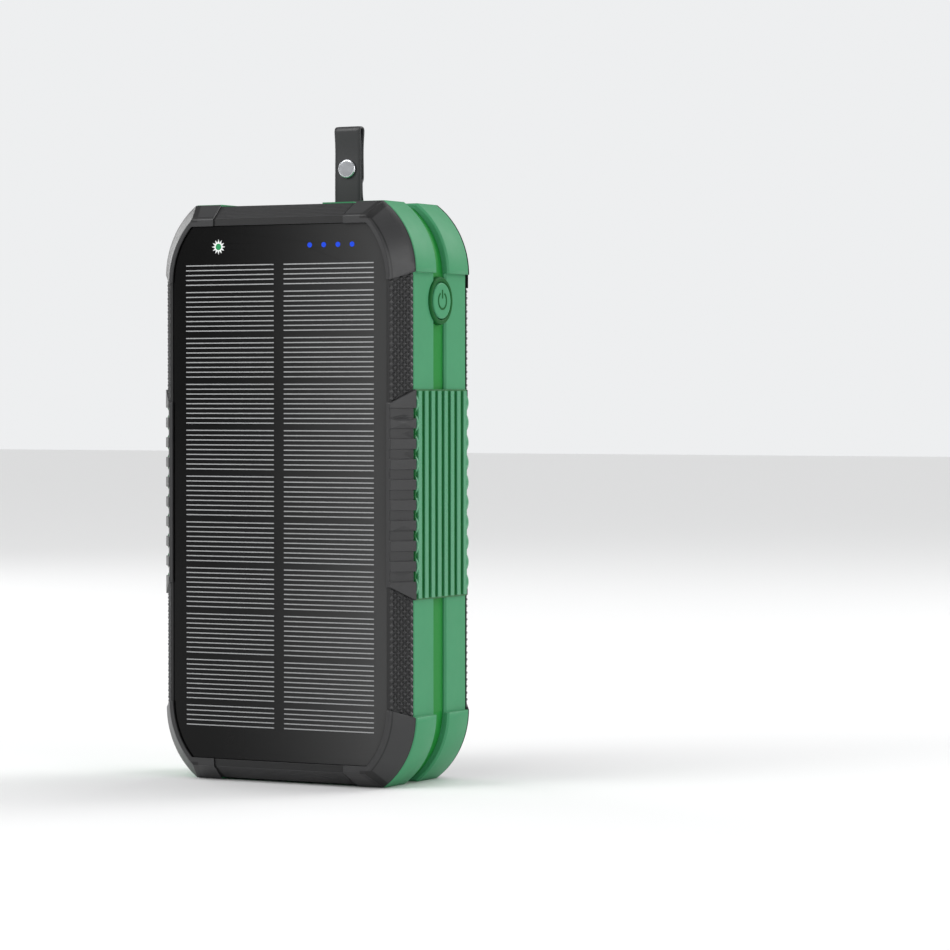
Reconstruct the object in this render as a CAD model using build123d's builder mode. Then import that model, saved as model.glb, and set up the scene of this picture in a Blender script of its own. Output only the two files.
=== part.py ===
from build123d import *
import os
from math import pi, sqrt

# Rugged solar power bank, millimetres, +Z up.
# The solar face looks along -Y, the back with its crank and cables along +Y.
# The origin is the middle of the footprint, on the surface that the corner guards stand on.

os.makedirs("parts", exist_ok=True)

# ---------------------------------------------------------------------------
# Driving dimensions
# ---------------------------------------------------------------------------
HEIGHT = 180.0            # over the corner guards
WIDTH = 88.0              # over the plain sides
DEPTH = 48.0              # over the corner guards, front to back

FACE_PROUD = 0.5          # corner guards stand this far in front of the lip
SIDE_PROUD = 1.1          # and this far out from the plain sides
END_PROUD = 0.6           # and this far past the plain top and bottom
SHELL_DEPTH = 6.4         # front and rear shells, lip to green band
SIDE_CHAMFER = 4.6        # how far a shell tapers in at each side
END_CHAMFER = 4.4         # and at the top and bottom
CORNER_UP = 22.0          # height of each corner arc at the band
CORNER_IN = 11.0          # its width there
LIP_CORNER_UP = 19.5      # the same two at the lip
LIP_CORNER_IN = 8.5

GROOVE_WIDTH = 7.2        # recessed middle of the green band
GROOVE_DEPTH = 1.0
BAND_WALL = 2.2
BAND_EDGE = 0.6           # chamfer on the rims of the green frames
SHELL_WALL = 2.4
WELL_WALL = 1.4           # walls of the pockets that stand inwards from the back
FIT = 0.15                # general assembly clearance
PIN_FIT = 0.03            # radial clearance of a pin or shaft that turns
MOVING_GAP = 0.35         # gap round a piece that swings or slides
OVERSHOOT = 10.0          # how far a cutting solid runs past the surface

# Solar face
GLASS_SIDE_LIP = 1.1
GLASS_END_LIP = 2.1
GLASS_SUNK = 0.3
GLASS_THICKNESS = 1.0
CELL_THICKNESS = 0.3
CELL_MARGIN_X = 4.6
CELL_MARGIN_TOP = 12.0
CELL_MARGIN_BOTTOM = 9.6
CELL_GAP = 3.6
PANEL_BOARD_THICKNESS = 1.2
LIGHT_ROW_DROP = 13.5     # lights below the top of the object
STATUS_LIGHT_X = -21.8
STATUS_LIGHT_RADIUS = 1.0
CHARGE_LIGHT_X = 11.1
CHARGE_LIGHT_PITCH = 5.0
CHARGE_LIGHT_COUNT = 4
CHARGE_LIGHT_RADIUS = 0.8

# Corner guards and grips
GUARD_TOP_X = 24.5        # where a guard ends on the top and bottom edges, at the band
GUARD_SLANT = 2.5         # how far its end leans, band to lip
GRIP_LENGTH = 64.4        # along the side, at the band
GRIP_SLANT = 4.2          # each end leans in by this much at the lip
GRIP_BASE_PROUD = 0.2     # floor of its windows, above the shell
GRIP_LIP_PROUD = 0.5      # its bars stand this far out at the lip
GRIP_FRONT_PROUD = 1.2    # and this far at the band, on the front
GRIP_REAR_PROUD = 0.6     # and on the back
GRIP_WINDOW_COUNT = 9
GRIP_WINDOW_LENGTH = 3.1
GRIP_RIM = 1.2            # rim between the windows and the inner edge
GRIP_REACH = 4.4          # how far the rear grips reach in over the flat back
GRIP_FRONT_REACH = 1.0    # and the front grips over the lip
RIB_COUNT = 8
RIB_BASE = 0.4
RIB_HEIGHT = 0.7
RIB_SHARE = 0.52          # rib width as a share of the pitch
RIB_INSET = 0.5           # ribs end this far inside the pad's ends
SCALLOP_HEIGHT = 0.8      # wavy edges of the rib pads, above the pad
SCALLOP_WIDTH = 1.1
SCALLOP_RADIUS = 4.8
RIB_EDGE_GAP = 0.5

# Power button and compass, on the sides
BUTTON_DROP = 30.5        # centre below the top
BUTTON_RING_RADIUS = 7.4
BUTTON_RADIUS = 5.6
BUTTON_TRAVEL = 0.6
BUTTON_DEPTH = 4.0
COMPASS_DROP = 39.7
COMPASS_RADIUS = 10.7
COMPASS_LENS_RADIUS = 9.0
COMPASS_CARD_RADIUS = 8.2
COMPASS_DEPTH = 7.0

# Boss of the rear frame at the foot of the strap
STRAP_BOSS_HALF = 5.6
STRAP_BOSS_RISE = 1.6
STRAP_BOSS_DEPTH = 4.0
STRAP_BOSS_ROOT = 0.5     # its foot goes this far into the frame

# Hand crank, on the back
DISC_X = -23.4
CRANK_DROP = 19.0         # disc centre below the top
DISC_RADIUS = 13.0
DISC_GAP = 0.25
DISC_THICKNESS = 7.0
ARM_WIDTH = 14.3
ARM_THICKNESS = 4.9
ARM_TAIL = 1.8            # arm past the hinge axis
HINGE_FROM_DISC = 5.9     # hinge axis from the disc centre, towards the arm
HINGE_PIN_RADIUS = 1.0
HINGE_PIN_LENGTH = 21.0
CHANNEL_END = 9.8         # far end of the disc's channel from its centre
SLOT_END = 0.4            # where the deep part of the channel ends
CHANNEL_SHALLOW = 3.0
ARM_PANEL_RIM = 1.1
ARM_PANEL_DEPTH = 0.6
KNOB_X = 30.0
KNOB_RADIUS = 5.0
KNOB_HEIGHT = 7.2
KNOB_PEG_RADIUS = 1.8
KNOB_WELL_GAP = 0.6
KNOB_SWING = 1.3          # extra well room that the knob's path needs
SHAFT_RADIUS = 2.5
GEAR_MODULE = 0.6
GEAR_TEETH = 32
PINION_TEETH = 10
GEAR_THICKNESS = 3.0
GEAR_BACKLASH = 0.16
GENERATOR_RADIUS = 8.0
GENERATOR_LENGTH = 15.0

# Cables and plugs, on the back
USB_A_X = 27.1
USB_A_TONGUE_WIDTH = 12.0
USB_A_TONGUE_LENGTH = 12.0
USB_A_TONGUE_THICKNESS = 2.2
USB_A_BODY_WIDTH = 13.2
USB_A_BODY_LENGTH = 5.4
USB_A_DROP = 57.4         # bottom of its overmould below the top
USB_A_SHELF = 1.4         # bar that the tongue's end lies against
USB_A_SHELF_SUNK = 1.6
USB_A_NOTCH_RADIUS = 6.2
USB_C_X = -28.0
USB_C_TIP_WIDTH = 8.25
USB_C_TIP_LENGTH = 7.0
USB_C_TIP_THICKNESS = 2.4
USB_C_BODY_WIDTH = 10.4
USB_C_BODY_LENGTH = 12.9
USB_C_DROP = 59.3
USB_C_NOTCH_RADIUS = 5.0
PLUG_THICKNESS = 4.2
PLUG_SLOT_DEPTH = 4.8
CABLE_WIDTH = 3.8
CABLE_THICKNESS = 1.8
CABLE_BED = 0.1           # air under a cable
CHAMFER_LEAN = 0.8        # how far the chamfers move in as the back sinks by one
CABLE_GROOVE_GAP = 0.3
CABLE_SUNK = 0.2
CABLE_FOOT_X = 19.0       # cable centre at the bottom edge
CABLE_FOOT_Z = 5.0
CABLE_END_Y = 17.6        # the cables enter the body here, on the bottom chamfer

# Adapter in its framed pocket
FRAME_LEFT = -20.7
FRAME_RIGHT = 18.5
FRAME_DROP = 48.0         # its middle below the top
FRAME_HEIGHT = 22.0
FRAME_CORNER = 2.7
FRAME_LINE = 0.8
FRAME_RAISED = 0.3
POCKET_LEFT = -14.0
POCKET_RIGHT = 8.1
POCKET_HEIGHT = 10.5
POCKET_DEPTH = 5.6
ADAPTER_HEIGHT = 8.6
ADAPTER_LEFT = -10.4
ADAPTER_RIGHT = 6.0
ADAPTER_THICKNESS = 5.0
ADAPTER_TIP_LENGTH = 4.6
ADAPTER_TIP_HEIGHT = 6.6
ADAPTER_TIP_THICKNESS = 2.4
ADAPTER_SOCKET_DEPTH = 3.2

# Charging pad and chevrons
PAD_TOP_DROP = 63.7
PAD_SHOULDER_DROP = 66.7
PAD_HIP_DROP = 106.8
PAD_TIP_DROP = 115.0
PAD_TOP_HALF = 22.3
PAD_HIP_HALF = 19.8
PAD_RAISED = 1.0
PAD_SUNK = 0.8
PAD_RIM = 1.3
PAD_DISH = 0.25
CHEVRON_BELOW_PAD = 5.0
CHEVRON_PITCH = 15.3
CHEVRON_HALF = 19.5
CHEVRON_SHRINK = 1.5
CHEVRON_NOTCH = 7.0       # notch below its ends
CHEVRON_TIP = 13.8        # tip below its ends
CHEVRON_DEEP = 1.9
CHEVRON_FOOT = 12.0       # clear height under the last one

# Strap and its bar, in the top of the back
STRAP_HALF_WIDTH = 4.9
STRAP_THICKNESS = 2.4
STRAP_TOP_RISE = 26.0     # above the top of the object
BAR_RADIUS = 0.9
BAR_Y_IN = 3.4            # bar axis in from the back of the object
BAR_DROP = 3.0            # and below the top
BAR_SEAT = 1.5            # how far each end goes into the shell
STRAP_LOOP = 1.0          # strap round the bar
STRAP_LOOP_FIT = 0.1
STRAP_RECESS_HALF = 11.4
SNAP_RADIUS = 3.05
SNAP_PROUD = 0.9
SNAP_POST_RADIUS = 1.4
SNAP_RISE = 12.4

# Screws
SCREW_HEAD_RADIUS = 1.65
SCREW_HEAD_HEIGHT = 1.2
SCREW_SHANK_RADIUS = 0.9
SCREW_LENGTH = 5.0
SCREW_SUNK = 0.3
CROSS_LENGTH = 2.2
CROSS_WIDTH = 0.5
CROSS_DEPTH = 0.6
SCREW_SIDE_X_IN = 6.0     # side screws in from the plain sides
SCREW_SIDE_HALF_SPAN = 31.0
SCREW_FOOT_X_IN = 14.2
SCREW_FOOT_Z = 8.3
SCREW_TOP_DROP = 31.4

# Inside
CELL_STACK_COUNT = 3
CELL_SPACE = 0.5
BATTERY_MARGIN_X = 8.0
BATTERY_FOOT = 17.0
BATTERY_TOP_DROP = 62.0
BOARD_THICKNESS = 1.6
BOARD_OVER_CELLS = 2.0
BOARD_MARGIN = 7.0
COIL_OUTER = 17.0
COIL_INNER = 8.0
COIL_THICKNESS = 1.0
FERRITE_RADIUS = 18.5
FERRITE_THICKNESS = 0.8

# Small details: gaps, edges and offsets
FACE_SKIN_GROW = 0.2      # corner guards, beyond the lip outline at the front
BACK_SKIN_GROW = 0.8      # and at the back
BOARD_INSET = 0.5         # panel board, smaller than the glass all round
LIGHT_SINK = 0.05         # small lights start this far inside the tray
USB_C_HEAD_ROOM = 0.6     # well past the tip of the USB-C plug
PAD_CORNER = 1.2          # rounding of the charging pad
CHEVRON_KEEL = 1.4        # how far the deepest point lies under the notch
SHANK_GAP = 0.05          # round a screw in its hole
COIL_BEHIND = 0.2         # charging coil behind the back wall
ARM_SKIN_GROW = 0.6       # crank arm, beyond the lip outline
ARM_SKIN_SUNK = 0.2       # and inside the bumper outline
KNOB_HEAD_GAP = 0.2       # between the knob and the arm
KNOB_EDGE = 1.2           # rounding of the knob
TOOTH_DEDENDUM = 1.25     # tooth depth below the pitch circle, in modules
TOOTH_ADDENDUM = 0.9      # and above it
TOOTH_ROOT_SHARE = 1.55   # half tooth at its root, as a share of half a pitch
TOOTH_TIP_SHARE = 0.45    # and at its tip
TOOTH_ROOT_SINK = 0.3     # teeth start this far inside the root circle
PINION_BEHIND = 0.2       # pinion, in front of the back of the gear
GENERATOR_EDGE = 0.8      # rounding of the generator
CONTACT_INNER_X = 1.0     # the two inner contacts, from the middle of the tongue
CONTACT_INNER_LENGTH = 8.2
CONTACT_OUTER_X = 3.5     # the two outer ones, which are longer
CONTACT_OUTER_LENGTH = 9.5
PLUG_CORNER = 0.5         # rounding of the USB-A overmould
PLUG_EDGE = 0.3           # chamfer of the overmoulds and the tongue
USB_C_CORNER = 0.8        # rounding of the USB-C overmould
TIP_ROUNDING = 0.45       # corner of the USB-C tip as a share of its thickness
ADAPTER_EDGE = 0.6        # chamfer of the adapter
ADAPTER_TIP_CORNER = 0.9  # rounding of its tip
SEAT_GAP = 0.05           # round the button ring, the compass and its lens
RING_EDGE = 0.4           # chamfer of the button ring
BUTTON_EDGE = 0.5         # rounding of the button
SWITCH_GAP = 0.1          # between the pressed button and its switch
COMPASS_EDGE = 0.6        # chamfer of the compass rim
COMPASS_FLOOR = 1.2       # floor of the compass case
LENS_SUNK = 0.3           # lens behind the rim of the compass
PIVOT_SINK = 0.3          # compass pivot, into the card
SNAP_ROUNDING = 0.6       # rounding of the snap as a share of its height
CELL_BEHIND = 0.8         # rear battery, in front of its space's back
CHEVRON_OVER = 0.001      # chevron cutters start this far over the field
GENERATOR_BORE_END = 1.0  # shaft bore, past the middle of the generator
USB_C_TIP_BACK = 1.0      # solid back of the USB-C tip
PLUG_SUNK = 0.2           # plug faces, under the field
TONGUE_SUNK = 0.7         # USB-A tongue, under its plug's face
CELL_CORNER = 1.5         # rounding of the batteries
LOOP_ROOM = 0.1           # round the strap's loop and its bar

# ---------------------------------------------------------------------------
# Levels and outlines that follow from them
# ---------------------------------------------------------------------------
MID_Z = HEIGHT / 2
FRONT_GUARD_Y = -DEPTH / 2
FRONT_LIP_Y = FRONT_GUARD_Y + FACE_PROUD
FRONT_BAND_Y = FRONT_LIP_Y + SHELL_DEPTH
REAR_GUARD_Y = DEPTH / 2
REAR_BAND_Y = -FRONT_BAND_Y
FIELD_Y = REAR_GUARD_Y - PAD_RAISED
GLASS_Y = FRONT_LIP_Y + GLASS_SUNK
CELL_Y = GLASS_Y + GLASS_THICKNESS
PANEL_BOARD_Y = CELL_Y + CELL_THICKNESS
TRAY_Y = PANEL_BOARD_Y + PANEL_BOARD_THICKNESS
TRAY_BACK_Y = TRAY_Y + SHELL_WALL - 0.4
BACK_WALL_Y = FIELD_Y - SHELL_WALL
CRANK_Z = HEIGHT - CRANK_DROP
HINGE_X = DISC_X + HINGE_FROM_DISC
ARM_FACE_Y = FIELD_Y - 0.1
ARM_FLOOR_Y = ARM_FACE_Y - ARM_THICKNESS
HINGE_Y = ARM_FACE_Y - ARM_THICKNESS / 2
DISC_FLOOR_Y = ARM_FACE_Y - DISC_THICKNESS
FAR = 2 * (HEIGHT + WIDTH + DEPTH)

# An outline is (half width, low z, high z, corner width, corner height).
PLAIN = (WIDTH / 2, END_PROUD, HEIGHT - END_PROUD, CORNER_IN, CORNER_UP)
BUMPER = (WIDTH / 2 + SIDE_PROUD, 0.0, HEIGHT, CORNER_IN + 0.4, CORNER_UP)
LIP = (
    WIDTH / 2 - SIDE_CHAMFER,
    END_PROUD + END_CHAMFER,
    HEIGHT - END_PROUD - END_CHAMFER,
    LIP_CORNER_IN,
    LIP_CORNER_UP,
)


def grow(size, by):
    """The same outline, offset outwards by a distance, its corner arcs on their own centres."""
    half_width, low, high, corner_in, corner_up = size
    radius = (corner_in**2 + corner_up**2) / (2 * corner_in) + by
    rise = corner_up + by
    return (half_width + by, low - by, high + by, radius - sqrt(radius**2 - rise**2), rise)


def narrow_ends(size, by):
    """The same outline with its top and bottom edges moved in."""
    half_width, low, high, corner_in, corner_up = size
    radius = (corner_in**2 + corner_up**2) / (2 * corner_in)
    rise = corner_up - by
    return (half_width, low + by, high - by, radius - sqrt(radius**2 - rise**2), rise)


GLASS = narrow_ends(grow(LIP, -GLASS_SIDE_LIP), GLASS_END_LIP - GLASS_SIDE_LIP)
BAND_INSIDE = grow(PLAIN, -BAND_WALL)


def outline(size):
    """Face with upright sides, and corner arcs that end in a crease on the top and bottom edges."""
    half_width, low, high, corner_in, corner_up = size
    corner_x = half_width - corner_in
    with BuildSketch() as face:
        with BuildLine():
            Line((corner_x, high), (-corner_x, high))
            Line((corner_x, low), (-corner_x, low))
            for side in (1, -1):
                start = (side * half_width, high - corner_up)
                foot = (side * half_width, low + corner_up)
                Line(start, foot)
                TangentArc(start, (side * corner_x, high), tangent=(0, 1))
                TangentArc(foot, (side * corner_x, low), tangent=(0, -1))
        make_face()
    return face.sketch


def tapered(lip_size, lip_y, band_size, band_y):
    """Solid between an outline at the lip and an outline at the band, with ruled flanks."""
    with BuildPart() as solid:
        with BuildSketch(Plane.XZ.offset(-lip_y)):
            add(outline(lip_size))
        with BuildSketch(Plane.XZ.offset(-band_y)):
            add(outline(band_size))
        loft(ruled=True)
    return solid.part


def prism(profile, back_y, front_y):
    """Upright profile extruded forwards from one depth to another."""
    with BuildPart() as solid:
        with BuildSketch(Plane.XZ.offset(-back_y)):
            add(profile)
        extrude(amount=back_y - front_y)
    return solid.part


def eased_prism(size, back_y, front_y, edge):
    """Prism of an outline whose front and back rims are chamfered."""
    small = outline(grow(size, -edge))
    full = outline(size)
    with BuildPart() as solid:
        for rim_y, inner_y in ((front_y, front_y + edge), (back_y, back_y - edge)):
            with BuildSketch(Plane.XZ.offset(-rim_y)):
                add(small)
            with BuildSketch(Plane.XZ.offset(-inner_y)):
                add(full)
            loft(ruled=True)
        with BuildSketch(Plane.XZ.offset(-(back_y - edge))):
            add(full)
        extrude(amount=back_y - front_y - 2 * edge)
    return solid.part


def slab(left, right, back_y, front_y, low, high):
    """Plain box between six planes."""
    with BuildPart() as solid:
        with BuildSketch(Plane.XZ.offset(-back_y)):
            with Locations(((left + right) / 2, (low + high) / 2)):
                Rectangle(right - left, high - low)
        extrude(amount=back_y - front_y)
    return solid.part


def corner_block(side_x, side_z, lip_y, band_y):
    """Region of one corner guard: it ends on a slant at the side and at the top or bottom edge."""
    half_height = MID_Z - CORNER_UP
    with BuildPart() as solid:
        for y, x_from, z_from in (
            (lip_y, GUARD_TOP_X - GUARD_SLANT / 2, half_height - GUARD_SLANT),
            (band_y, GUARD_TOP_X, half_height),
        ):
            with BuildSketch(Plane.XZ.offset(-y)):
                middle = (side_x * (x_from + FAR) / 2, MID_Z + side_z * (z_from + FAR) / 2)
                with Locations(middle):
                    Rectangle(FAR - x_from, FAR - z_from)
        loft(ruled=True)
    return solid.part


def grip_block(side_x, lip_y, band_y, inner_x):
    """Region of one side grip, its ends leaning in towards the lip."""
    with BuildPart() as solid:
        for y, length in ((lip_y, GRIP_LENGTH - 2 * GRIP_SLANT), (band_y, GRIP_LENGTH)):
            with BuildSketch(Plane.XZ.offset(-y)):
                with Locations((side_x * (inner_x + FAR) / 2, MID_Z)):
                    Rectangle(FAR - inner_x, length)
        loft(ruled=True)
    return solid.part


def tetrahedron(first, second, third, fourth):
    """Closed solid with four corners."""
    corners = [first, second, third, fourth]
    sides = []
    for left_out in range(4):
        trio = [corner for index, corner in enumerate(corners) if index != left_out]
        sides.append(Face(Wire.make_polygon(trio)))
    return Solid(Shell(sides))


front_mass = tapered(LIP, FRONT_LIP_Y, PLAIN, FRONT_BAND_Y)
rear_mass = tapered(LIP, FIELD_Y, PLAIN, REAR_BAND_Y)
front_skin = tapered(grow(LIP, FACE_SKIN_GROW), FRONT_GUARD_Y, BUMPER, FRONT_BAND_Y)
rear_skin = tapered(grow(LIP, BACK_SKIN_GROW), REAR_GUARD_Y, BUMPER, REAR_BAND_Y)
glass_opening = prism(outline(GLASS), FRONT_BAND_Y, FRONT_GUARD_Y - OVERSHOOT)
rear_field = prism(outline(LIP), REAR_GUARD_Y + OVERSHOOT, FIELD_Y)
rear_inner_lip = prism(outline(grow(LIP, -GLASS_SIDE_LIP)), REAR_GUARD_Y + OVERSHOOT, FIELD_Y)
arm_opening = slab(
    HINGE_X,
    WIDTH,
    REAR_GUARD_Y + OVERSHOOT,
    ARM_FLOOR_Y - MOVING_GAP,
    CRANK_Z - ARM_WIDTH / 2 - MOVING_GAP,
    CRANK_Z + ARM_WIDTH / 2 + MOVING_GAP,
)

pieces = []

# ---------------------------------------------------------------------------
# Front shell: black frame round the solar panel, with a tray behind it
# ---------------------------------------------------------------------------
with BuildPart() as front_shell:
    add(front_mass)
    with BuildSketch(Plane.XZ.offset(-TRAY_Y)):
        add(outline(grow(GLASS, FIT)))
    extrude(amount=OVERSHOOT, mode=Mode.SUBTRACT)
    with BuildSketch(Plane.XZ.offset(-FRONT_BAND_Y)):
        add(outline(grow(LIP, -GLASS_SIDE_LIP)))
    extrude(amount=FRONT_BAND_Y - TRAY_BACK_Y, mode=Mode.SUBTRACT)
front_shell.part.label = "front_shell"
pieces.append(front_shell.part)

for side_x, side_name in ((-1, "left"), (1, "right")):
    for side_z, end_name in ((1, "top"), (-1, "bottom")):
        region = corner_block(side_x, side_z, FRONT_GUARD_Y, FRONT_BAND_Y)
        with BuildPart() as front_guard:
            add(front_skin)
            add(region, mode=Mode.INTERSECT)
            add(front_mass, mode=Mode.SUBTRACT)
            add(glass_opening, mode=Mode.SUBTRACT)
        front_guard.part.label = f"front_guard_{end_name}_{side_name}"
        pieces.append(front_guard.part)

# ---------------------------------------------------------------------------
# Solar panel: glass, two cells, board, and the lights that show through the glass
# ---------------------------------------------------------------------------
LIGHT_Z = HEIGHT - LIGHT_ROW_DROP
charge_light_places = [
    (CHARGE_LIGHT_X + index * CHARGE_LIGHT_PITCH, LIGHT_Z) for index in range(CHARGE_LIGHT_COUNT)
]

with BuildPart() as solar_glass:
    with BuildSketch(Plane.XZ.offset(-CELL_Y)):
        add(outline(GLASS))
        with Locations((STATUS_LIGHT_X, LIGHT_Z)):
            Circle(STATUS_LIGHT_RADIUS, mode=Mode.SUBTRACT)
        with Locations(*charge_light_places):
            Circle(CHARGE_LIGHT_RADIUS, mode=Mode.SUBTRACT)
    extrude(amount=GLASS_THICKNESS)
solar_glass.part.label = "solar_glass"
pieces.append(solar_glass.part)

cell_outer_x = GLASS[0] - CELL_MARGIN_X
cell_low = GLASS[1] + CELL_MARGIN_BOTTOM
cell_high = GLASS[2] - CELL_MARGIN_TOP
for side_x, side_name in ((-1, "left"), (1, "right")):
    with BuildPart() as solar_cell:
        with BuildSketch(Plane.XZ.offset(-PANEL_BOARD_Y)):
            with Locations((side_x * (cell_outer_x + CELL_GAP / 2) / 2, (cell_low + cell_high) / 2)):
                Rectangle(cell_outer_x - CELL_GAP / 2, cell_high - cell_low)
        extrude(amount=CELL_THICKNESS)
    solar_cell.part.label = f"solar_cell_{side_name}"
    pieces.append(solar_cell.part)

with BuildPart() as panel_board:
    with BuildSketch(Plane.XZ.offset(-TRAY_Y)):
        add(outline(grow(GLASS, -BOARD_INSET)))
        with Locations((STATUS_LIGHT_X, LIGHT_Z)):
            Circle(STATUS_LIGHT_RADIUS, mode=Mode.SUBTRACT)
        with Locations(*charge_light_places):
            Circle(CHARGE_LIGHT_RADIUS, mode=Mode.SUBTRACT)
    extrude(amount=PANEL_BOARD_THICKNESS)
panel_board.part.label = "panel_board"
pieces.append(panel_board.part)

with BuildPart() as status_light:
    with BuildSketch(Plane.XZ.offset(-TRAY_Y)):
        with Locations((STATUS_LIGHT_X, LIGHT_Z)):
            Circle(STATUS_LIGHT_RADIUS)
    extrude(amount=TRAY_Y - GLASS_Y + LIGHT_SINK)
status_light.part.label = "status_light"
pieces.append(status_light.part)

with BuildPart() as charge_lights:
    with BuildSketch(Plane.XZ.offset(-TRAY_Y)):
        with Locations(*charge_light_places):
            Circle(CHARGE_LIGHT_RADIUS)
    extrude(amount=TRAY_Y - GLASS_Y + LIGHT_SINK)
charge_lights.part.label = "charge_lights"
pieces.append(charge_lights.part)

# ---------------------------------------------------------------------------
# Green band: a front and a rear frame with bumper corners, and a recessed middle
# ---------------------------------------------------------------------------
BUTTON_Z = HEIGHT - BUTTON_DROP
COMPASS_Z = HEIGHT - COMPASS_DROP
side_cut_length = 2 * OVERSHOOT
with BuildPart() as button_cut:
    with BuildSketch(Plane.YZ.offset(WIDTH / 2 - OVERSHOOT)):
        with Locations((0, BUTTON_Z)):
            Circle(BUTTON_RING_RADIUS)
    extrude(amount=side_cut_length)
with BuildPart() as compass_cut:
    with BuildSketch(Plane.YZ.offset(-WIDTH / 2 + OVERSHOOT)):
        with Locations((0, COMPASS_Z)):
            Circle(COMPASS_RADIUS)
    extrude(amount=-side_cut_length)
button_opening = button_cut.part
compass_opening = compass_cut.part

bumper_blocks = []
for side_x in (-1, 1):
    for side_z in (-1, 1):
        x_from = GUARD_TOP_X
        z_from = MID_Z - CORNER_UP
        low = MID_Z + (z_from if side_z > 0 else -FAR)
        high = MID_Z + (FAR if side_z > 0 else -z_from)
        left = x_from if side_x > 0 else -FAR
        right = FAR if side_x > 0 else -x_from
        bumper_blocks.append(slab(left, right, REAR_BAND_Y, FRONT_BAND_Y, low, high))

for back_y, front_y, frame_name in (
    (-GROOVE_WIDTH / 2, FRONT_BAND_Y, "front_frame"),
    (REAR_BAND_Y, GROOVE_WIDTH / 2, "rear_frame"),
):
    plain_ring = eased_prism(PLAIN, back_y, front_y, BAND_EDGE)
    bumper_ring = eased_prism(BUMPER, back_y, front_y, BAND_EDGE)
    corner_pieces = [bumper_ring.intersect(block) for block in bumper_blocks]
    boss = slab(
        -STRAP_BOSS_HALF,
        STRAP_BOSS_HALF,
        back_y,
        back_y - STRAP_BOSS_DEPTH,
        HEIGHT - END_PROUD - STRAP_BOSS_ROOT,
        HEIGHT + STRAP_BOSS_RISE,
    )
    with BuildPart() as frame:
        add(plain_ring)
        for corner_piece in corner_pieces:
            add(corner_piece)
        if frame_name == "rear_frame":
            add(boss)
        with BuildSketch(Plane.XZ.offset(-back_y)):
            add(outline(BAND_INSIDE))
        extrude(amount=back_y - front_y, mode=Mode.SUBTRACT)
        add(button_opening, mode=Mode.SUBTRACT)
        add(compass_opening, mode=Mode.SUBTRACT)
    frame.part.label = frame_name
    pieces.append(frame.part)

with BuildPart() as mid_band:
    with BuildSketch(Plane.XZ.offset(-GROOVE_WIDTH / 2)):
        add(outline(grow(PLAIN, -GROOVE_DEPTH)))
        add(outline(BAND_INSIDE), mode=Mode.SUBTRACT)
    extrude(amount=GROOVE_WIDTH)
    add(button_opening, mode=Mode.SUBTRACT)
    add(compass_opening, mode=Mode.SUBTRACT)
mid_band.part.label = "mid_band"
pieces.append(mid_band.part)

# ---------------------------------------------------------------------------
# Grips: black ladder grips on the four side chamfers, green ribbed pads between them
# ---------------------------------------------------------------------------
window_pitch = (GRIP_LENGTH - 2 * GRIP_SLANT) / GRIP_WINDOW_COUNT
window_places = [
    MID_Z + (index - (GRIP_WINDOW_COUNT - 1) / 2) * window_pitch for index in range(GRIP_WINDOW_COUNT)
]
scallop_places = [
    MID_Z + (index - GRIP_WINDOW_COUNT / 2) * window_pitch for index in range(GRIP_WINDOW_COUNT + 1)
]
SCALLOP_TOP = WIDTH / 2 + RIB_BASE + SCALLOP_HEIGHT
FRONT_WINDOW_Y = FRONT_LIP_Y - GRIP_BASE_PROUD
REAR_WINDOW_Y = FIELD_Y + GRIP_BASE_PROUD
GRIP_FRONT_X = LIP[0] - GRIP_FRONT_REACH
GRIP_REAR_X = LIP[0] - GRIP_REACH


def side_grip(side_x, guard_y, floor_y, band_y, band_proud, mass, inner_x):
    """Skin over the shell's chamfer with a row of windows sunk into it, open towards the band."""
    floor_skin = tapered(grow(LIP, GRIP_BASE_PROUD), floor_y, grow(PLAIN, GRIP_BASE_PROUD), band_y)
    bar_skin = tapered(grow(LIP, GRIP_LIP_PROUD), guard_y, grow(PLAIN, band_proud), band_y)
    region = grip_block(side_x, guard_y, band_y, inner_x)
    left, right = sorted((side_x * (inner_x + GRIP_RIM), side_x * FAR))
    with BuildPart() as grip:
        add(bar_skin)
        for place in window_places:
            low, high = place - GRIP_WINDOW_LENGTH / 2, place + GRIP_WINDOW_LENGTH / 2
            add(slab(left, right, -FAR, FAR, low, high), mode=Mode.SUBTRACT)
        add(floor_skin)
        add(region, mode=Mode.INTERSECT)
        add(mass, mode=Mode.SUBTRACT)
    return grip.part


for side_x, side_name in ((-1, "left"), (1, "right")):
    grip = side_grip(
        side_x, FRONT_GUARD_Y, FRONT_WINDOW_Y, FRONT_BAND_Y, GRIP_FRONT_PROUD, front_mass, GRIP_FRONT_X
    )
    with BuildPart() as trimmed:
        add(grip)
        add(glass_opening, mode=Mode.SUBTRACT)
    trimmed.part.label = f"grip_front_{side_name}"
    pieces.append(trimmed.part)
    grip = side_grip(
        side_x, REAR_GUARD_Y, REAR_WINDOW_Y, REAR_BAND_Y, GRIP_REAR_PROUD, rear_mass, GRIP_REAR_X
    )
    grip.label = f"grip_rear_{side_name}"
    pieces.append(grip)

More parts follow.
